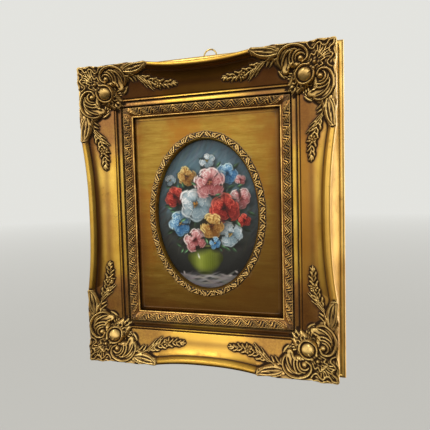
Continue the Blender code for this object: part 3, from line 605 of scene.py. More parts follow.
def slip_outline(run, half_length):
    pattern_end = SLIP_WIDTH - SLIP_BEAD_WIDTH
    across = np.linspace(0.15, pattern_end - 0.2, SLIP_PLACES)
    arch = across / pattern_end * (SLIP_FALL - 1) - SLIP_ARCH * np.sin(math.pi * across / pattern_end)
    depth = BAND_DEPTH + 0.3 + arch - slip_height(run, half_length, across)
    carved = np.stack([across, depth], axis=1)
    bead = [
        (pattern_end + 0.1, BAND_DEPTH + SLIP_FALL - 0.4),
        (pattern_end + 0.4, BAND_DEPTH + SLIP_FALL - 0.9),
        (pattern_end + 0.9, BAND_DEPTH + SLIP_FALL - 1.25),
        (SLIP_WIDTH - 0.8, BAND_DEPTH + SLIP_FALL - 1.2),
        (SLIP_WIDTH - 0.3, BAND_DEPTH + SLIP_FALL - 0.8),
        (SLIP_WIDTH, BAND_DEPTH + SLIP_FALL),
        (SLIP_WIDTH, PANEL_FRONT - 0.3),
        (SLIP_WIDTH - 4, PANEL_FRONT - 0.3),
        (SLIP_WIDTH - 4, PANEL_BACK),
        (-5.2, PANEL_BACK),
        (-5.2, LIP_BACK + 0.3),
        (0, LIP_BACK + 0.3),
        (0, BAND_DEPTH + 0.4),
    ]
    return np.concatenate([carved, bead])


def build_slip():
    def places_at(half_length):
        count = int(half_length / 0.55)
        return np.linspace(-1, 1, 2 * count + 1)[:-1]

    points = rectangle_ring(SLIP_HALF, slip_outline, places_at)
    normals = grid_normals(points, True)
    if normals[:, 10, 1].mean() > 0:
        normals = -normals
    values = {
        "hollow": np.clip(hollowness(points, normals, 3) / 0.3, -1, 1),
        "deep": np.clip(hollowness(points, normals, 16) / 1, -1, 1),
    }
    # Painted shade: the sunken Vs of the zigzag count as deep hollows and turn dark.
    across = np.linspace(0, SLIP_WIDTH - SLIP_BEAD_WIDTH, SLIP_PLACES)
    sunk = [
        np.clip((1.3 * slip_turn((1 - abs(place)) * length, length) - across) / 1.5, 0, 0.75)
        for length in SLIP_HALF * 2
        for place in places_at(length)
    ]
    values["deep"][:, :SLIP_PLACES] = np.maximum(values["deep"][:, :SLIP_PLACES], sunk)
    piece = grid_mesh("patterned_slip", points, values, closed_along=True)
    piece.data.materials.append(bpy.data.materials["bronzed_gold_leaf"])
    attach(piece, "picture")
    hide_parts("inner_slip")


def rim_relief(length):
    """One repeat of the oval rim: a scroll out, a scroll back in, and leaves and pearls between. u runs along the
    rim, v outwards."""
    relief = Relief((length, RIM_WIDTH), 0.2, repeats=True)
    middle = 0.5 * (RIM_LIP + RIM_WIDTH) + 0.1
    inner, outer = RIM_LIP + 0.9, RIM_WIDTH - 1
    scroll = [(0, inner + 0.2), (0.1, middle - 0.7), (0.2, middle + 0.9), (0.3, outer), (0.38, outer - 1.1),
              (0.35, middle + 0.7), (0.29, middle + 0.6)]
    back_scroll = [(0.47, outer), (0.55, middle + 1), (0.63, middle - 0.8), (0.73, inner), (0.82, inner + 1.1),
                   (0.79, middle + 0.3), (0.73, middle)]
    for points in (scroll, back_scroll):
        relief.stroke([(share * length, v) for share, v in points], 1.25, 3, 0.9, 0.5)
    relief.leaf([(0.17 * length, inner), (0.27 * length, middle - 1.1), (0.41 * length, middle - 0.4)], 1.35, 2.5)
    relief.leaf([(0.65 * length, outer), (0.79 * length, middle + 1.9), (0.93 * length, outer - 0.4)], 1.3, 2.4)
    relief.stroke([(0.9 * length, inner), (0.93 * length, middle), (0.9 * length, middle + 1.6)], 1.1, 2.6, 0.9, 0.5)
    relief.dome((0.5 * length, inner + 0.5), 1.1, 2.2)
    relief.dome((0.08 * length, outer - 0.4), 1.1, 2.2)
    return relief


def oval_path(angle):
    """A point on the opening at each angle, and the direction out of it."""
    turn = np.arctan2(np.sin(angle) * OVAL_HALF[0], np.cos(angle) * OVAL_HALF[1])
    normal = np.stack([np.cos(turn) * OVAL_HALF[1], np.sin(turn) * OVAL_HALF[0]], axis=1)
    normal /= np.linalg.norm(normal, axis=1)[:, None]
    return np.stack([np.cos(turn) * OVAL_HALF[0], np.sin(turn) * OVAL_HALF[1]], axis=1), normal


def build_panel():
    corner = math.atan2(PANEL_HALF[1], PANEL_HALF[0])
    marks = [0, corner, math.pi - corner, math.pi + corner, 2 * math.pi - corner, 2 * math.pi]
    angles = []
    for a, b in zip(marks[:-1], marks[1:]):
        angles.append(np.linspace(a, b, int(960 * (b - a) / (2 * math.pi)))[:-1])
    angles = np.concatenate(angles)
    cosine, sine = np.abs(np.cos(angles)), np.abs(np.sin(angles))
    reach = np.minimum(PANEL_HALF[0] / np.maximum(cosine, 1e-9), PANEL_HALF[1] / np.maximum(sine, 1e-9))
    edge = np.stack([reach * np.cos(angles), reach * np.sin(angles)], axis=1)
    opening, normal = oval_path(angles)
    steps = np.linalg.norm(np.roll(opening + normal * 6, -1, axis=0) - opening - normal * 6, axis=1)
    along = np.concatenate([[0], np.cumsum(steps)[:-1]])
    repeat = steps.sum() / RIM_REPEATS
    relief = rim_relief(round(repeat, 1))
    run = along / repeat * round(repeat, 1)
    rows, carved = [], []

    def add(flat, depth, is_carved=0):
        rows.append(np.stack([flat[:, 0], np.broadcast_to(depth, len(flat)), flat[:, 1]], axis=1))
        carved.append(np.full(len(flat), float(is_carved)))

    crest = PANEL_FRONT - RIM_HEIGHT
    add(opening, PANEL_BACK)
    add(opening, PANEL_BACK - 0.9)
    for out, depth in ((0.5, PANEL_BACK - 1.8), (1.2, crest + 2.8), (2, crest + 1.9), (RIM_LIP - 0.3, crest + 1.3)):
        add(opening + normal * out, depth)
    for out in np.linspace(RIM_LIP, RIM_WIDTH - 0.5, 18):
        share = (out - RIM_LIP) / (RIM_WIDTH - RIM_LIP)
        base = crest + 1.9 + 1.3 * share**2
        rise = relief.read(relief.rise, run, np.full(len(run), out))
        add(opening + normal * out, np.minimum(base - 0.85 * rise + 0.3, PANEL_FRONT), 1)
    add(opening + normal * RIM_WIDTH, PANEL_FRONT, 0.6)
    foot = opening + normal * (RIM_WIDTH + 0.8)
    add(foot, PANEL_FRONT)
    line_inset = 7.4
    inside = edge * (1 - (line_inset + 2) / np.array(PANEL_HALF))
    for share in np.linspace(0.08, 1, 10):
        add(foot + share * (inside - foot), PANEL_FRONT)
    for inset, depth in ((line_inset + 1.4, 0), (line_inset + 0.8, -0.45), (line_inset, 0)):
        add(edge * (1 - inset / np.array(PANEL_HALF)), PANEL_FRONT + depth)
    add(edge, PANEL_FRONT)
    add(edge, PANEL_BACK)
    points = np.stack(rows, axis=1)
    normals = grid_normals(points, True)
    if normals[:, 15, 1].mean() > 0:
        normals = -normals
    inset = [half - np.abs(points[:, :, k]) for half, k in zip(PANEL_HALF, (0, 2))]
    hidden_edge = PANEL_HALF[0] - SLIP_HALF[0] + SLIP_WIDTH
    # margin runs from the slip's edge inwards; the material paints the slip's shadow, partly patina, where it is low.
    margin = np.minimum((np.minimum(*inset) - hidden_edge) / 22, (np.hypot(*inset) - hidden_edge) / 78)
    values = {
        "hollow": np.clip(hollowness(points, normals, 3) / 0.3, -1, 1),
        "carved": np.stack(carved, axis=1),
        "margin": np.clip(margin, 0, 1),
        # Painted shade, growing towards the lower right.
        "lower_right_shade": np.clip(0.5 + (0.35 * points[:, :, 0] - 0.5 * points[:, :, 2]) / PANEL_HALF[1], 0, 1),
    }
    piece = grid_mesh("panel_with_oval", points, values, closed_along=True)
    piece.data.materials.append(bpy.data.materials["brushed_gold_leaf"])
    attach(piece, "picture")
    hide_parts("oval_panel")


class Canvas:
    """A painted surface: colours as the eye reads them, from 0 to 1, on a grid of x and z in millimetres."""

    def __init__(self, half, counts, seed):
        self.x, self.z = np.meshgrid(
            np.linspace(-half[0], half[0], counts[0]), np.linspace(-half[1], half[1], counts[1]), indexing="ij"
        )
        self.colour = np.zeros((*counts, 3))
        self.chance = np.random.default_rng(seed)
        self.step = 2 * half[0] / (counts[0] - 1)
        self.half = half

    def patch(self, centre, reach):
        low = [int((centre[k] + self.half[k] - reach) / self.step) for k in (0, 1)]
        high = [int((centre[k] + self.half[k] + reach) / self.step) + 2 for k in (0, 1)]
        return slice(max(low[0], 0), max(high[0], 0)), slice(max(low[1], 0), max(high[1], 0))

    def dab(self, centre, length, width, angle, colour, strength=0.9, point=0.4):
        """One touch of the brush: an oval with soft bristle lines along it, narrower towards its end."""
        part = self.patch(centre, 0.6 * max(length, width) + 1)
        if self.x[part].size == 0:
            return
        dx, dz = self.x[part] - centre[0], self.z[part] - centre[1]
        along = (dx * math.cos(angle) + dz * math.sin(angle)) / (length / 2)
        across = (dz * math.cos(angle) - dx * math.sin(angle)) / (width / 2)
        across = across / (1 - point * np.clip(along, 0, 0.98))
        cover = np.clip(1.6 * (1 - np.sqrt(along**2 + across**2)), 0, 1) * strength
        bristle = 0.05 * np.sin(across * 9 + self.chance.uniform(0, 6)) + 0.04 * along
        painted = np.clip(np.array(colour)[None, None, :] + bristle[:, :, None], 0, 1)
        self.colour[part] += cover[:, :, None] * (painted - self.colour[part])

    def scatter(self, count, low, high, length, width, angle, colours, strength=0.5):
        for _ in range(count):
            centre = self.chance.uniform(low, high)
            colour = np.array(colours[self.chance.integers(len(colours))]) + self.chance.normal(0, 0.02, 3)
            turn = angle + self.chance.normal(0, 0.25)
            self.dab(centre, length * self.chance.uniform(0.6, 1.3), width, turn, colour, strength)

    def petal(self, foot, reach, spread_angle, angle, dark, light, lit):
        """A rounded petal: its body, strokes that run out to its rim, and short pale strokes along the rim."""
        out = np.array([math.cos(angle), math.sin(angle)])
        body = dark + 0.3 * lit * (light - dark)
        self.dab(foot + 0.52 * reach * out, 1.05 * reach, 1.5 * reach * math.sin(spread_angle), angle, body, 0.95, -0.3)
        strokes = 7
        for length, width, place, turn, low, high in ((0.6, 0.17, 0.68, 0, 0.2, 1.0), (0.36, 0.14, 0.94, math.pi / 2, 0.8, 1.5)):
            for k in self.chance.permutation(strokes):
                share = 2 * k / (strokes - 1) - 1
                lean = angle + spread_angle * share
                edge = reach * (1 - 0.16 * share**2) * self.chance.uniform(0.93, 1.04)
                middle = foot + place * edge * np.array([math.cos(lean), math.sin(lean)])
                tone = dark + (light - dark) * min(1, lit * self.chance.uniform(low, high))
                self.dab(middle, length * reach, width * reach, lean + turn, tone, 0.88, 0)

    def bloom(self, centre, radius, colours, petals, heart=None):
        """A full flower: ragged outer petals, then smaller ones that close over its heart, lit from the upper left."""
        centre = np.array(centre, float)
        dark, light = (np.array(colour, float) for colour in colours)
        self.dab(centre, 2.1 * radius, 1.9 * radius, 0, 0.45 * dark, 0.8, 0)
        first = self.chance.uniform(0, math.pi)
        for size, count, foot_share in ((1, petals, 0.12), (0.66, petals - 1, 0.2), (0.4, 3, 0.1)):
            for k in self.chance.permutation(count):
                turn = first + size + 2 * math.pi * (k + self.chance.uniform(-0.25, 0.25)) / count
                lit = 0.62 + 0.38 * math.cos(turn - 2.1) + 0.12 * (1 - size)
                foot = centre + foot_share * radius * np.array([math.cos(turn), math.sin(turn)])
                reach = radius * size * self.chance.uniform(0.8, 1.05)
                shade = dark * (0.8 + 0.25 * lit)
                self.petal(foot, reach, 2.7 / count, turn, shade, light, max(0.15, lit))
            cup = centre + np.array([0.08, -0.12]) * radius
            self.dab(cup, 0.7 * size * radius, 0.42 * size * radius, 0.4, 0.7 * dark, 0.5, 0)
        if heart is not None:
            self.dab(centre, 0.34 * radius, 0.26 * radius, 0.4, np.array(heart) * 0.5, 0.9, 0)
            for _ in range(8):
                place = centre + self.chance.normal(0, radius * 0.1, 2)
                self.dab(place, radius * 0.14, radius * 0.09, self.chance.uniform(0, 3), heart, 0.9, 0)

    def leaf(self, foot, length, angle, colour):
        """A pointed leaf: a dark body, a lit half and a pale vein."""
        out, aside = np.array([math.cos(angle), math.sin(angle)]), np.array([-math.sin(angle), math.cos(angle)])
        colour = np.array(colour, float)
        middle = foot + 0.5 * length * out
        self.dab(middle, length, 0.42 * length, angle, 0.55 * colour, 0.95, 0.6)
        self.dab(middle + 0.07 * length * aside, 0.85 * length, 0.2 * length, angle, 1.15 * colour, 0.8, 0.6)
        self.dab(middle + 0.1 * length * aside, 0.5 * length, 0.08 * length, angle, np.clip(1.8 * colour, 0, 1), 0.6, 0.6)

    def spray(self, start, end, colour, size):
        """A stem with leaves on both sides."""
        start, end = np.array(start, float), np.array(end, float)
        turn = math.atan2(*(end - start)[::-1])
        length = np.linalg.norm(end - start)
        self.dab((start + end) / 2, length, size * 0.16, turn, np.array(colour) * 0.8, 0.8, 0)
        for share in np.linspace(0.35, 1, max(3, int(length / (size * 0.8)))):
            for side in (-1, 1):
                place = start + share * (end - start)
                lean = turn + side * self.chance.uniform(0.5, 1.1)
                shade = self.chance.uniform(0.6, 1.35)
                self.leaf(place, size * self.chance.uniform(0.8, 1.25), lean, np.array(colour) * shade)


def paint_picture(half, counts):
    """A loose bunch of garden flowers in a footed bowl, on a slate-blue ground."""
    canvas = Canvas(half, counts, 11)
    x, z = canvas.x / half[0], canvas.z / half[1]
    slate, brown, dark = np.array([0.34, 0.46, 0.52]), np.array([0.23, 0.24, 0.22]), np.array([0.11, 0.12, 0.12])
    fall = np.clip(0.75 - 0.9 * z - 0.25 * np.abs(x), 0, 1)[:, :, None]
    canvas.colour[:] = slate + (brown - slate) * np.clip(fall, 0, 1)
    low = np.clip((-z - 0.15) * 1.6, 0, 1)[:, :, None]
    canvas.colour[:] += low * (dark - canvas.colour)
    blues = [(0.38, 0.48, 0.54), (0.31, 0.4, 0.45), (0.43, 0.52, 0.56), (0.29, 0.36, 0.42)]
    canvas.scatter(420, (-half[0], 0.05 * half[1]), (half[0], half[1]), 26, 4.2, 0.95, blues, 0.42)
    canvas.scatter(200, (-half[0], -0.5 * half[1]), (half[0], 0.1 * half[1]), 20, 4, 0.9,
                   [(0.24, 0.2, 0.18), (0.3, 0.29, 0.27), (0.15, 0.16, 0.17)], 0.35)
    ledge = [(0.7, 0.69, 0.69), (0.64, 0.63, 0.64), (0.74, 0.72, 0.72)]
    canvas.scatter(260, (-half[0], -half[1]), (half[0], -0.8 * half[1]), 30, 4, 0.03, ledge, 0.6)
    canvas.dab((-10, -78), 60, 7, 0, (0.24, 0.24, 0.25), 0.8, 0)
    pot, pot_shine = np.array([0.4, 0.45, 0.12]), np.array([0.78, 0.83, 0.42])
    for share in np.linspace(-1, 1, 41):
        lit = math.exp(-((share + 0.32) ** 2) / 0.1) + 0.25 * math.exp(-((share - 0.72) ** 2) / 0.02)
        shade = np.clip(pot * (0.5 + 0.55 * (1 - share**2)) + 0.38 * lit * (pot_shine - pot), 0, 1)
        place = (-4 + 23 * share, -60 + 3 * share**2)
        canvas.dab(place, 44 * math.sqrt(max(0.1, 1 - share**2)), 4.2, math.pi / 2, shade, 0.98, 0)
    canvas.dab((-4, -77.5), 24, 5, 0, 0.5 * pot, 0.9, 0)
    canvas.dab((-4, -43.5), 44, 6.5, 0, 0.45 * pot, 0.9, 0)
    canvas.dab((-5, -41.6), 42, 2.6, 0, pot_shine, 0.7, 0)
    canvas.dab((-13, -55), 3, 11, 0.3, (0.95, 0.97, 0.9), 0.9, 0)
    green = (0.29, 0.43, 0.3)
    for start, end, size in (
        ((-5, -38), (-46, -20), 15), ((0, -35), (-48, 12), 15), ((0, -30), (-30, 52), 14), ((4, -30), (2, 68), 13),
        ((6, -30), (34, 56), 14), ((8, -34), (48, 24), 15), ((8, -38), (46, -18), 15), ((4, -42), (30, -42), 11),
        ((-8, -42), (-34, -44), 11), ((10, -20), (52, 4), 13), ((-6, -10), (-44, 36), 13),
    ):
        canvas.spray(start, end, np.array(green) * canvas.chance.uniform(0.7, 1.25), size)
    canvas.scatter(130, (-38, -38), (40, 38), 13, 6, 0.7, [(0.1, 0.16, 0.11), (0.2, 0.29, 0.21), (0.07, 0.1, 0.09)], 0.8)
    white = [(0.46, 0.58, 0.64), (1, 1, 1)]
    pink = [(0.64, 0.27, 0.28), (1, 0.95, 0.94)]
    red = [(0.44, 0.06, 0.05), (0.98, 0.44, 0.36)]
    blue = [(0.13, 0.38, 0.62), (0.86, 0.97, 1)]
    ochre = [(0.5, 0.29, 0.08), (1, 0.9, 0.58)]
    for centre, radius, colours, petals, heart in (
        ((29, 52), 14, blue, 5, None), ((-27, 50), 13, ochre, 5, (0.45, 0.25, 0.1)),
        ((2, 70), 10, white, 5, (0.8, 0.66, 0.25)), ((-44, 24), 14, red, 5, None),
        ((46, 20), 14, pink, 5, (0.6, 0.3, 0.25)), ((-37, -12), 16, blue, 6, (0.75, 0.6, 0.3)),
        ((31, -26), 17, white, 6, (0.75, 0.6, 0.3)), ((-17, -34), 15, pink, 5, None),
        ((-15, 13), 24, white, 6, (0.72, 0.5, 0.2)), ((24, 8), 20, red, 6, (0.25, 0.08, 0.06)),
        ((5, 42), 21, pink, 6, (0.7, 0.42, 0.3)), ((6, -15), 16, ochre, 6, (0.45, 0.22, 0.08)),
        ((-50, 46), 7, white, 4, (0.8, 0.7, 0.3)), ((50, -8), 9, red, 5, None),
        ((46, 44), 7, pink, 4, None), ((10, -38), 8, blue, 5, (0.85, 0.75, 0.4)),
    ):
        canvas.dab(centre + np.array([2, -3]), 2.9 * radius, 2.6 * radius, 0, (0.06, 0.075, 0.07), 0.8, 0)
        canvas.bloom(centre, radius, colours, petals, heart)
    for foot, length, angle in (
        ((-28, -4), 13, 3.6), ((10, 24), 12, 0.2), ((38, -8), 13, -0.9), ((-30, 34), 12, 1.9), ((-4, -30), 12, -1.2),
        ((14, 60), 12, 0.9), ((-12, 38), 12, 2.6), ((40, 34), 12, 0.4), ((-46, 8), 11, 2.9), ((16, -40), 12, -0.5),
    ):
        canvas.leaf(np.array(foot, float), length, angle, np.array(green) * canvas.chance.uniform(0.9, 1.4))
    for centre in ((-34, -78), (30, -80), (38, -75)):
        canvas.dab(centre, 7, 3.4, canvas.chance.uniform(0, 3), pink[1], 0.9, 0.3)
    # Painted shadow of the oval rim: the picture darkens towards the opening's edge.
    shade = np.clip((np.hypot(canvas.x / OVAL_HALF[0], canvas.z / OVAL_HALF[1]) - 0.78) / 0.24, 0, 1)
    canvas.colour *= 1 - 0.45 * shade[:, :, None]
    return canvas.colour


def build_painting():
    """The board, with the picture's colours on a fine grid where the oval shows it."""
    fine_half, counts = (70, 99.4), (234, 332)
    colour = paint_picture(fine_half, counts)
    xs = np.concatenate([[-BOARD_HALF[0]], np.linspace(-fine_half[0], fine_half[0], counts[0]), [BOARD_HALF[0]]])
    zs = np.concatenate([[-BOARD_HALF[1]], np.linspace(-fine_half[1], fine_half[1], counts[1]), [BOARD_HALF[1]]])
    colour = np.pad(colour, ((1, 1), (1, 1), (0, 0)), mode="edge")
    x, z = np.meshgrid(xs, zs, indexing="ij")
    points = np.stack([x, np.full(x.shape, float(BOARD_FRONT)), z], axis=2).reshape(-1, 3)
    index = np.arange(x.size).reshape(x.shape)
    faces = np.stack([index[:-1, :-1], index[1:, :-1], index[1:, 1:], index[:-1, 1:]], axis=2).reshape(-1, 4).tolist()
    border = np.concatenate([index[:-1, 0], index[-1, :-1], index[:0:-1, -1], index[0, :0:-1]])
    back = points[border].copy()
    back[:, 1] = BOARD_BACK
    first = len(points)
    points = np.concatenate([points, back])
    for k in range(len(border)):
        after = (k + 1) % len(border)
        faces.append((int(border[after]), int(border[k]), first + k, first + after))
    faces.append(tuple(range(first, first + len(border))))
    mesh = bpy.data.meshes.new("painted_board")
    mesh.from_pydata((points * MM + CENTRE).tolist(), [], faces)
    linear = np.where(colour <= 0.04045, colour / 12.92, ((colour + 0.055) / 1.055) ** 2.4)
    shades = np.full((len(points), 4), 1.0)
    shades[:, :3] = 0.1
    shades[: colour.shape[0] * colour.shape[1], :3] = linear.reshape(-1, 3)
    layer = mesh.color_attributes.new("paint", "FLOAT_COLOR", "POINT")
    layer.data.foreach_set("color", shades.astype(np.float32).reshape(-1))
    index_of = np.ones(len(faces), np.int32)
    index_of[: (len(xs) - 1) * (len(zs) - 1)] = 0
    mesh.polygons.foreach_set("material_index", index_of)
    piece = bpy.data.objects.new("painted_board", mesh)
    bpy.context.scene.collection.objects.link(piece)
    mesh.materials.append(bpy.data.materials["oil_paint_layer"])
    mesh.materials.append(bpy.data.materials["bare_board"])
    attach(piece, "picture")
    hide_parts("painting_board")


def build_ring():
    half = RING_WIDTH / 2 - RING_WIRE
    arch = RING_PIVOT_Z + RING_HEIGHT - half
    corner = 2.2
    line = [(half * math.cos(t), arch + half * math.sin(t)) for t in np.linspace(0, math.pi, 40)]
    for t in np.linspace(math.pi, 1.5 * math.pi, 12):
        line.append((-half + corner * (1 + math.cos(t)), RING_PIVOT_Z + corner * (1 + math.sin(t))))
    for t in np.linspace(1.5 * math.pi, 2 * math.pi, 12):
        line.append((half - corner * (1 - math.cos(t)), RING_PIVOT_Z + corner * (1 + math.sin(t))))
    curve = bpy.data.curves.new("wire_ring", "CURVE")
    curve.dimensions = "3D"
    curve.bevel_depth = (RING_WIRE - 0.02) * MM
    curve.bevel_resolution = 5
    spline = curve.splines.new("POLY")
    spline.points.add(len(line) - 1)
    for point, (x, z) in zip(spline.points, line):
        point.co = (*(np.array([RING_OFFSET + x, RING_PLANE, z]) * MM + CENTRE), 1)
    spline.use_cyclic_u = True
    curve.materials.append(bpy.data.materials["worn_brass"])
    piece = bpy.data.objects.new("wire_ring", curve)
    bpy.context.scene.collection.objects.link(piece)
    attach(piece, "ring")
    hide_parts("hanging_ring")


class Surface:
    """Adds nodes to one material and links them."""

    def __init__(self, name, metallic=0.0, roughness=0.5):
        self.material = bpy.data.materials.new(name)
        self.material.use_nodes = True
        self.tree = self.material.node_tree
        self.shader = self.tree.nodes["Principled BSDF"]
        self.shader.inputs["Metallic"].default_value = metallic
        self.shader.inputs["Roughness"].default_value = roughness

    def feed(self, socket, value):
        if isinstance(value, bpy.types.NodeSocket):
            self.tree.links.new(value, socket)
        else:
            socket.default_value = value

    def node(self, kind, inputs, **settings):
        made = self.tree.nodes.new(kind)
        for key, value in settings.items():
            setattr(made, key, value)
        for key, value in inputs.items():
            self.feed(made.inputs[key], value)
        return made

    def place(self, stretch=(1, 1, 1)):
        where = self.node("ShaderNodeTexCoord", {}).outputs["Object"]
        return self.node("ShaderNodeMapping", {"Vector": where, "Scale": stretch}).outputs["Vector"]

    def noise(self, scale, detail=3.0, roughness=0.5, stretch=(1, 1, 1)):
        inputs = {"Vector": self.place(stretch), "Scale": scale, "Detail": detail, "Roughness": roughness}
        return self.node("ShaderNodeTexNoise", inputs).outputs["Fac"]

    def along_rails(self, scale, detail, roughness, stretch):
        """Noise drawn out along the frame's rails: upright at the sides, level at the top and bottom."""
        level = self.value("level")
        upright = self.math("MULTIPLY", self.noise(scale, detail, roughness, (1, 1, stretch)),
                            self.math("SUBTRACT", 1.0, level))
        across = self.math("MULTIPLY", self.noise(scale, detail, roughness, (stretch, 1, 1)), level)
        return self.math("ADD", upright, across)

    def facing_up(self):
        """How much the surface faces up, from -1 to 1."""
        normal = self.node("ShaderNodeNewGeometry", {}).outputs["Normal"]
        return self.node("ShaderNodeSeparateXYZ", {"Vector": normal}).outputs["Z"]

    def across(self):
        """Metres to the right of the world's origin."""
        where = self.node("ShaderNodeTexCoord", {}).outputs["Object"]
        return self.node("ShaderNodeSeparateXYZ", {"Vector": where}).outputs["X"]

    def value(self, name):
        return self.node("ShaderNodeAttribute", {}, attribute_name=name).outputs["Fac"]

    def range(self, value, low, high, to_low=0.0, to_high=1.0):
        inputs = {"Value": value, "From Min": low, "From Max": high, "To Min": to_low, "To Max": to_high}
        return self.node("ShaderNodeMapRange", inputs).outputs["Result"]

    def math(self, operation, a, b=0.0):
        made = self.node("ShaderNodeMath", {0: a, 1: b}, operation=operation)
        return made.outputs["Value"]

    def mix(self, share, a, b):
        made = self.node("ShaderNodeMix", {}, data_type="RGBA")
        self.feed(made.inputs["Factor"], share)
        self.feed(made.inputs[6], a if isinstance(a, bpy.types.NodeSocket) else (*a, 1))
        self.feed(made.inputs[7], b if isinstance(b, bpy.types.NodeSocket) else (*b, 1))
        return made.outputs[2]

    def bump(self, height, distance, strength=1.0, under=None):
        inputs = {"Height": height, "Distance": distance, "Strength": strength}
        if under is not None:
            inputs["Normal"] = under
        return self.node("ShaderNodeBump", inputs).outputs["Normal"]

    def finish(self, **sockets):
        for key, value in sockets.items():
            self.feed(self.shader.inputs[key.replace("_", " ")], value)


def make_materials():
    gold = Surface("antique_gold_leaf")
    hollow, deep, carved, near = (gold.value(name) for name in ("hollow", "deep", "carved", "near"))
    foot, outside, shade_round_carving = (gold.value(name) for name in ("foot", "outside", "shade_round_carving"))
    cloud = gold.noise(28, 4)
    patches = gold.noise(17, 5, 0.6)
    mottle = gold.noise(95, 5, 0.6)
    brushed = gold.along_rails(110, 4, 0.6, 0.1)
    leaf = gold.mix(gold.range(cloud, 0.35, 0.68), (0.6, 0.37, 0.05), (0.78, 0.54, 0.1))
    leaf = gold.mix(gold.range(brushed, 0.45, 0.66, 0, 0.5), leaf, (0.4, 0.2, 0.025))
    near_tone = gold.math("MULTIPLY", gold.range(near, 0.02, 0.3), gold.range(patches, 0.3, 0.55, 0.35, 1))
    leaf = gold.mix(gold.math("MULTIPLY", near_tone, 0.85), leaf, (0.34, 0.155, 0.05))
    up = gold.facing_up()
    right = gold.across()
    # Painted light and shade: faces that turn up take a warmer, lit gold; faces that turn down take a dark brown shade.
    leaf = gold.mix(gold.range(up, 0.12, 0.3, 0, 0.5), leaf, (0.72, 0.42, 0.06))
    leaf = gold.mix(gold.range(up, -0.02, -0.3, 0, 0.9), leaf, (0.16, 0.065, 0.01))
    # Painted shade over a strip towards the right, which covers the inner half of the right rail's scoop.
    right_strip_shade = gold.math("MULTIPLY", gold.range(right, 0.113, 0.116), gold.range(right, 0.124, 0.137, 0.8, 0))
    leaf = gold.mix(right_strip_shade, leaf, (0.3, 0.13, 0.02))
    # Painted highlight: brighter gold towards the right edge, over the right rail's bead and the top of its scoop.
    leaf = gold.mix(gold.range(right, 0.138, 0.15, 0, 0.75), leaf, (1.0, 0.62, 0.13))
    specks = gold.noise(420, 3, 0.6)
    grime = gold.math("MULTIPLY", gold.range(near, 0.3, 0.75), gold.range(specks, 0.36, 0.6, 0.75, 1))
    leaf = gold.mix(gold.math("MULTIPLY", grime, 0.6), leaf, (0.09, 0.032, 0.014))
    # Painted shade close round the raised carving.
    leaf = gold.mix(gold.range(shade_round_carving, 0.02, 0.28, 0, 0.85), leaf, (0.06, 0.022, 0.014))
    # Partly patina, partly painted shade: a dark brown band beside the bead on the left rail.
    left_hem = gold.math("MULTIPLY", gold.value("hem"), gold.range(right, -0.118, -0.135, 0, 0.93))
    leaf = gold.mix(left_hem, leaf, (0.11, 0.042, 0.008))
    # Partly patina, partly painted shade: the bead's flanks, the scoop beside its foot and the inner band darken.
    leaf = gold.mix(gold.range(foot, 0, 1, 0, 0.92), leaf, (0.11, 0.04, 0.008))
    # Painted highlight: the carving's edges turn bright gold; its flatter parts take brown patina.
    bronze = gold.mix(gold.range(hollow, -0.45, 0.15), (1.0, 0.79, 0.3), (0.5, 0.32, 0.1))
    bronze = gold.mix(gold.range(patches, 0.42, 0.62, 0, 0.35), bronze, (0.42, 0.22, 0.07))
    tone = gold.mix(carved, leaf, bronze)
    # The outer side and back moulding take a brighter plain gold: the gilt's own tone, brightened as painted reflection
    # of the pale wall behind.
    plain_gold = gold.mix(gold.range(cloud, 0.35, 0.65), (0.62, 0.39, 0.1), (0.86, 0.62, 0.19))
    plain_gold = gold.mix(gold.range(patches, 0.5, 0.66, 0, 0.5), plain_gold, (0.38, 0.19, 0.045))
    tone = gold.mix(gold.math("MULTIPLY", outside, 0.9), tone, plain_gold)
    # Painted shade: the hollows and grooves turn near-black brown.
    recess = gold.math("MAXIMUM", gold.range(hollow, 0.12, 0.6), gold.range(deep, 0.35, 1.0, 0, 0.5))
    tone = gold.mix(recess, tone, (0.026, 0.013, 0.005))
    tone = gold.mix(gold.range(mottle, 0.62, 0.75, 0, 0.5), tone, (0.12, 0.06, 0.02))
    gold.finish(
        Base_Color=tone,
        Specular_IOR_Level=gold.range(recess, 0, 1, 0.5, 0.1),
        Metallic=gold.range(recess, 0, 1, 0.86, 0.1),
        Roughness=gold.range(gold.math("ADD", recess, gold.math("MULTIPLY", mottle, 0.4)), 0.1, 1.1, 0.3, 0.75),
        Normal=gold.bump(mottle, 0.0004, 0.35, gold.bump(cloud, 0.0012, 0.2)),
    )

    slip = Surface("bronzed_gold_leaf")
    hollow, deep = slip.value("hollow"), slip.value("deep")
    cloud = slip.noise(60, 4)
    # Painted highlight on the carving's edges, brown patina on its flatter parts.
    tone = slip.mix(slip.range(hollow, -0.7, 0.0), (0.95, 0.6, 0.17), (0.34, 0.165, 0.045))
    tone = slip.mix(slip.range(cloud, 0.42, 0.65, 0, 0.6), tone, (0.2, 0.085, 0.025))
    # Painted shade: the hollows and sunken Vs turn near-black.
    recess = slip.math("MAXIMUM", slip.range(hollow, 0.02, 0.4), slip.range(deep, 0.2, 0.8, 0, 0.6))
    tone = slip.mix(recess, tone, (0.012, 0.006, 0.004))
    slip.finish(
        Base_Color=tone,
        Metallic=slip.range(recess, 0, 1, 0.8, 0.1),
        Roughness=slip.range(recess, 0, 1, 0.38, 0.8),
        Normal=slip.bump(cloud, 0.0005, 0.3),
    )

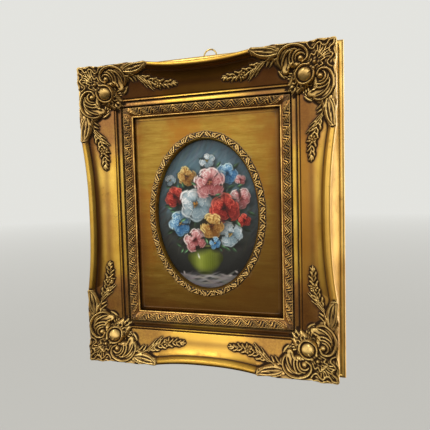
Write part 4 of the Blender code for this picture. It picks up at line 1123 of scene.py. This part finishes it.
    panel = Surface("brushed_gold_leaf")
    hollow, carved, margin = panel.value("hollow"), panel.value("carved"), panel.value("margin")
    lower_right_shade = panel.value("lower_right_shade")
    streaks = panel.noise(85, 5, 0.7, (0.22, 1, 1.5))
    fine_streaks = panel.noise(300, 4, 0.7, (0.1, 1, 1.6))
    cloud = panel.noise(15, 5, 0.65)
    flat = panel.mix(panel.range(streaks, 0.35, 0.65), (0.24, 0.135, 0.014), (0.42, 0.28, 0.048))
    flat = panel.mix(panel.range(fine_streaks, 0.45, 0.7, 0, 0.6), flat, (0.27, 0.12, 0.015))
    flat = panel.mix(panel.range(cloud, 0.46, 0.6, 0, 0.65), flat, (0.33, 0.125, 0.012))
    # Painted shadow of the slip on the panel's edge, partly patina: a wide darker fade, stronger towards the lower
    # right.
    edge = panel.math("ADD", panel.range(margin, 0, 0.8, 1, 0), panel.range(cloud, 0.3, 0.7, -0.2, 0.2))
    edge = panel.math("MULTIPLY", edge, panel.range(lower_right_shade, 0.1, 0.8, 0.55, 1.1))
    flat = panel.mix(panel.range(edge, 0.05, 0.8, 0, 0.9), flat, (0.12, 0.042, 0.007))
    # Painted shade: darker towards the lower right.
    flat = panel.mix(panel.range(lower_right_shade, 0.2, 0.95, 0, 0.85), flat, (0.11, 0.05, 0.006))
    # Painted shadow: a near-black line at the very edge under the slip.
    flat = panel.mix(panel.range(margin, 0.06, 0.19, 1, 0), flat, (0.012, 0.005, 0.002))
    # Painted highlight on the rim's carved edges, brown patina on its flatter parts.
    rim = panel.mix(panel.range(hollow, -0.75, 0.0), (0.9, 0.64, 0.24), (0.26, 0.13, 0.035))
    # Painted shade: the rim's up-facing parts are darker.
    rim = panel.mix(panel.range(panel.facing_up(), 0.05, 0.4, 0, 0.6), rim, (0.42, 0.24, 0.06))
    # Painted shade: the rim's hollows turn near-black.
    rim = panel.mix(panel.range(hollow, 0.02, 0.3), rim, (0.01, 0.005, 0.002))
    tone = panel.mix(carved, flat, rim)
    panel.finish(
        Base_Color=tone,
        Metallic=panel.range(hollow, 0.1, 0.6, 0.82, 0.1),
        Roughness=panel.range(streaks, 0.3, 0.7, 0.36, 0.52),
        Normal=panel.bump(streaks, 0.0006, 0.35),
    )

    paint = Surface("oil_paint_layer")
    colour = paint.node("ShaderNodeAttribute", {}, attribute_name="paint").outputs["Color"]
    weave = paint.noise(240, 2, 0.5)
    ridges = paint.noise(130, 4, 0.6, (1, 1, 0.5))
    relief = paint.bump(ridges, 0.0009, 0.4, paint.bump(weave, 0.0003, 0.4))
    paint.finish(Base_Color=colour, Roughness=0.4, Specular_IOR_Level=0.25, Normal=relief)

    for name, dark, light, scale in (
        ("stained_wood", (0.05, 0.026, 0.012), (0.14, 0.075, 0.035), 9),
        ("bare_board", (0.33, 0.22, 0.12), (0.47, 0.33, 0.19), 7),
    ):
        wood = Surface(name, 0, 0.65)
        grain = wood.along_rails(scale * 4, 6, 0.65, 0.06)
        wood.finish(Base_Color=wood.mix(wood.range(grain, 0.35, 0.65), dark, light), Normal=wood.bump(grain, 0.0006, 0.4))

    for name, base, worn in (
        ("worn_brass", (0.58, 0.45, 0.17), (0.22, 0.13, 0.06)),
        ("dull_plate", (0.55, 0.5, 0.4), (0.3, 0.26, 0.2)),
    ):
        metal = Surface(name, 1, 0.35)
        patches = metal.noise(420, 4, 0.6)
        metal.finish(
            Base_Color=metal.mix(metal.range(patches, 0.45, 0.65), base, worn),
            Roughness=metal.range(patches, 0.3, 0.7, 0.25, 0.5),
            Normal=metal.bump(patches, 0.0002, 0.3),
        )


def dress_hanger():
    """The strap and its screws keep their solids, with plated metal on them."""
    for node in ("hanger_strap", "hanger_screw_1", "hanger_screw_2"):
        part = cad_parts[node]
        part.data.materials.clear()
        part.data.materials.append(bpy.data.materials["dull_plate"])


# How the studio's brightness changes with height: lowest and highest z of the direction, then its strength there
SKY_RISE = (-0.5, 0.45, 0.05, 1.75)
WALL_RISE = (-0.45, 0.3, 1.1, 1.5)
# Brighter parts of the studio: direction, where each starts and is full as a cosine, and what it adds
BRIGHT_FRONT = ((0.12, -0.99, 0), 0.68, 0.94, 1.35)
BRIGHT_LEFT = ((-0.85, -0.5, 0), 0.8, 1.0, 1.3)
PALE_WALL = ((0.3, 0.95, 0), 0.15, 0.9, 1.7)


def set_stage():
    bpy.ops.mesh.primitive_plane_add(size=40, location=(0, 0, -1.3))
    floor = bpy.context.object
    floor.name = "floor"
    floor.visible_glossy = False
    floor.visible_diffuse = False
    pale = Surface("pale_floor", 0, 0.9)
    away = pale.node("ShaderNodeVectorMath", {0: pale.place()}, operation="LENGTH").outputs["Value"]
    far = pale.range(away, 3, 17)
    pale.finish(
        Base_Color=pale.mix(far, (0.2, 0.2, 0.19), (0, 0, 0)),
        Specular_IOR_Level=0,
        Emission_Color=(0.77, 0.77, 0.735, 1),
        Emission_Strength=pale.range(far, 0, 1, 0.45, 1),
    )
    floor.data.materials.append(pale.material)

    world = bpy.data.worlds.new("studio")
    bpy.context.scene.world = world
    world.use_nodes = True
    tree = world.node_tree
    tree.nodes.clear()

    def node(kind, inputs, **settings):
        made = tree.nodes.new(kind)
        for key, value in settings.items():
            setattr(made, key, value)
        for key, value in inputs.items():
            if isinstance(value, bpy.types.NodeSocket):
                tree.links.new(value, made.inputs[key])
            else:
                made.inputs[key].default_value = value
        return made

    towards = node("ShaderNodeTexCoord", {}).outputs["Generated"]
    parts = node("ShaderNodeSeparateXYZ", {"Vector": towards})

    def between(value, low, high, to_low, to_high):
        inputs = {"Value": value, "From Min": low, "From Max": high, "To Min": to_low, "To Max": to_high}
        return node("ShaderNodeMapRange", inputs, interpolation_type="SMOOTHSTEP").outputs["Result"]

    def facing(direction, low, high, strength):
        share = node("ShaderNodeVectorMath", {0: towards, 1: direction}, operation="DOT_PRODUCT").outputs["Value"]
        return between(share, low, high, 0.0, strength)

    def join(operation, a, b):
        return node("ShaderNodeMath", {0: a, 1: b}, operation=operation).outputs["Value"]

    height = between(parts.outputs["Z"], *SKY_RISE)
    sides = join("ADD", join("ADD", facing(*BRIGHT_FRONT), facing(*BRIGHT_LEFT)), 0.2)
    wall = join("MULTIPLY", facing(*PALE_WALL), between(parts.outputs["Z"], *WALL_RISE))
    strength = join("ADD", join("MULTIPLY", height, sides), wall)
    tint = node("ShaderNodeMix", {0: between(parts.outputs["Z"], -0.45, 0.15, 0.0, 1.0)}, data_type="RGBA")
    tint.inputs[6].default_value = (1, 0.72, 0.42, 1)
    tint.inputs[7].default_value = (1, 0.96, 0.9, 1)
    lighting = node("ShaderNodeBackground", {"Color": tint.outputs[2], "Strength": strength})
    seen = node("ShaderNodeBackground", {"Color": (0.77, 0.77, 0.735, 1)})
    path = node("ShaderNodeLightPath", {})
    choose = node("ShaderNodeMixShader", {"Fac": path.outputs["Is Camera Ray"], 1: lighting.outputs["Background"],
                                          2: seen.outputs["Background"]})
    node("ShaderNodeOutputWorld", {"Surface": choose.outputs["Shader"]})

    for name, place, size, power, colour in (
        ("window", (-0.6, -1.1, 0.85), 0.35, 6, (1, 0.98, 0.95)),
        ("ceiling", (-0.3, -0.6, 1.1), 0.8, 2, (1, 0.98, 0.96)),
    ):
        light = bpy.data.lights.new(name, "AREA")
        light.size = size
        light.energy = power
        light.color = colour
        lamp = bpy.data.objects.new(name, light)
        lamp.location = place
        bpy.context.scene.collection.objects.link(lamp)
        aim(lamp, (0, -0.03, -0.21))


def aim(obj, target):
    from mathutils import Vector

    direction = Vector(target) - obj.location
    obj.rotation_euler = direction.to_track_quat("-Z", "Y").to_euler()


def set_camera():
    from mathutils import Matrix, Vector

    lens = bpy.data.cameras.new("camera")
    lens.lens = 34.70
    lens.sensor_width = 36
    lens.clip_start = 0.01
    camera = bpy.data.objects.new("camera", lens)
    bpy.context.scene.collection.objects.link(camera)
    place = Vector(np.array([159.3, -485, 32.7]) * MM + CENTRE)
    forward = Vector((-0.2743, 0.9597, -0.0619)).normalized()
    up = Vector((0.0088, 0.0668, 0.9977))
    side = forward.cross(up).normalized()
    up = side.cross(forward)
    turn = Matrix((side, up, -forward)).transposed().to_4x4()
    camera.matrix_world = Matrix.Translation(place) @ turn
    bpy.context.scene.camera = camera


def main():
    make_materials()
    set_camera()
    build_frame()
    build_slip()
    build_panel()
    build_painting()
    build_ring()
    dress_hanger()
    set_stage()
    bpy.context.scene.view_settings.view_transform = "Standard"
    bpy.context.view_layer.update()


main()
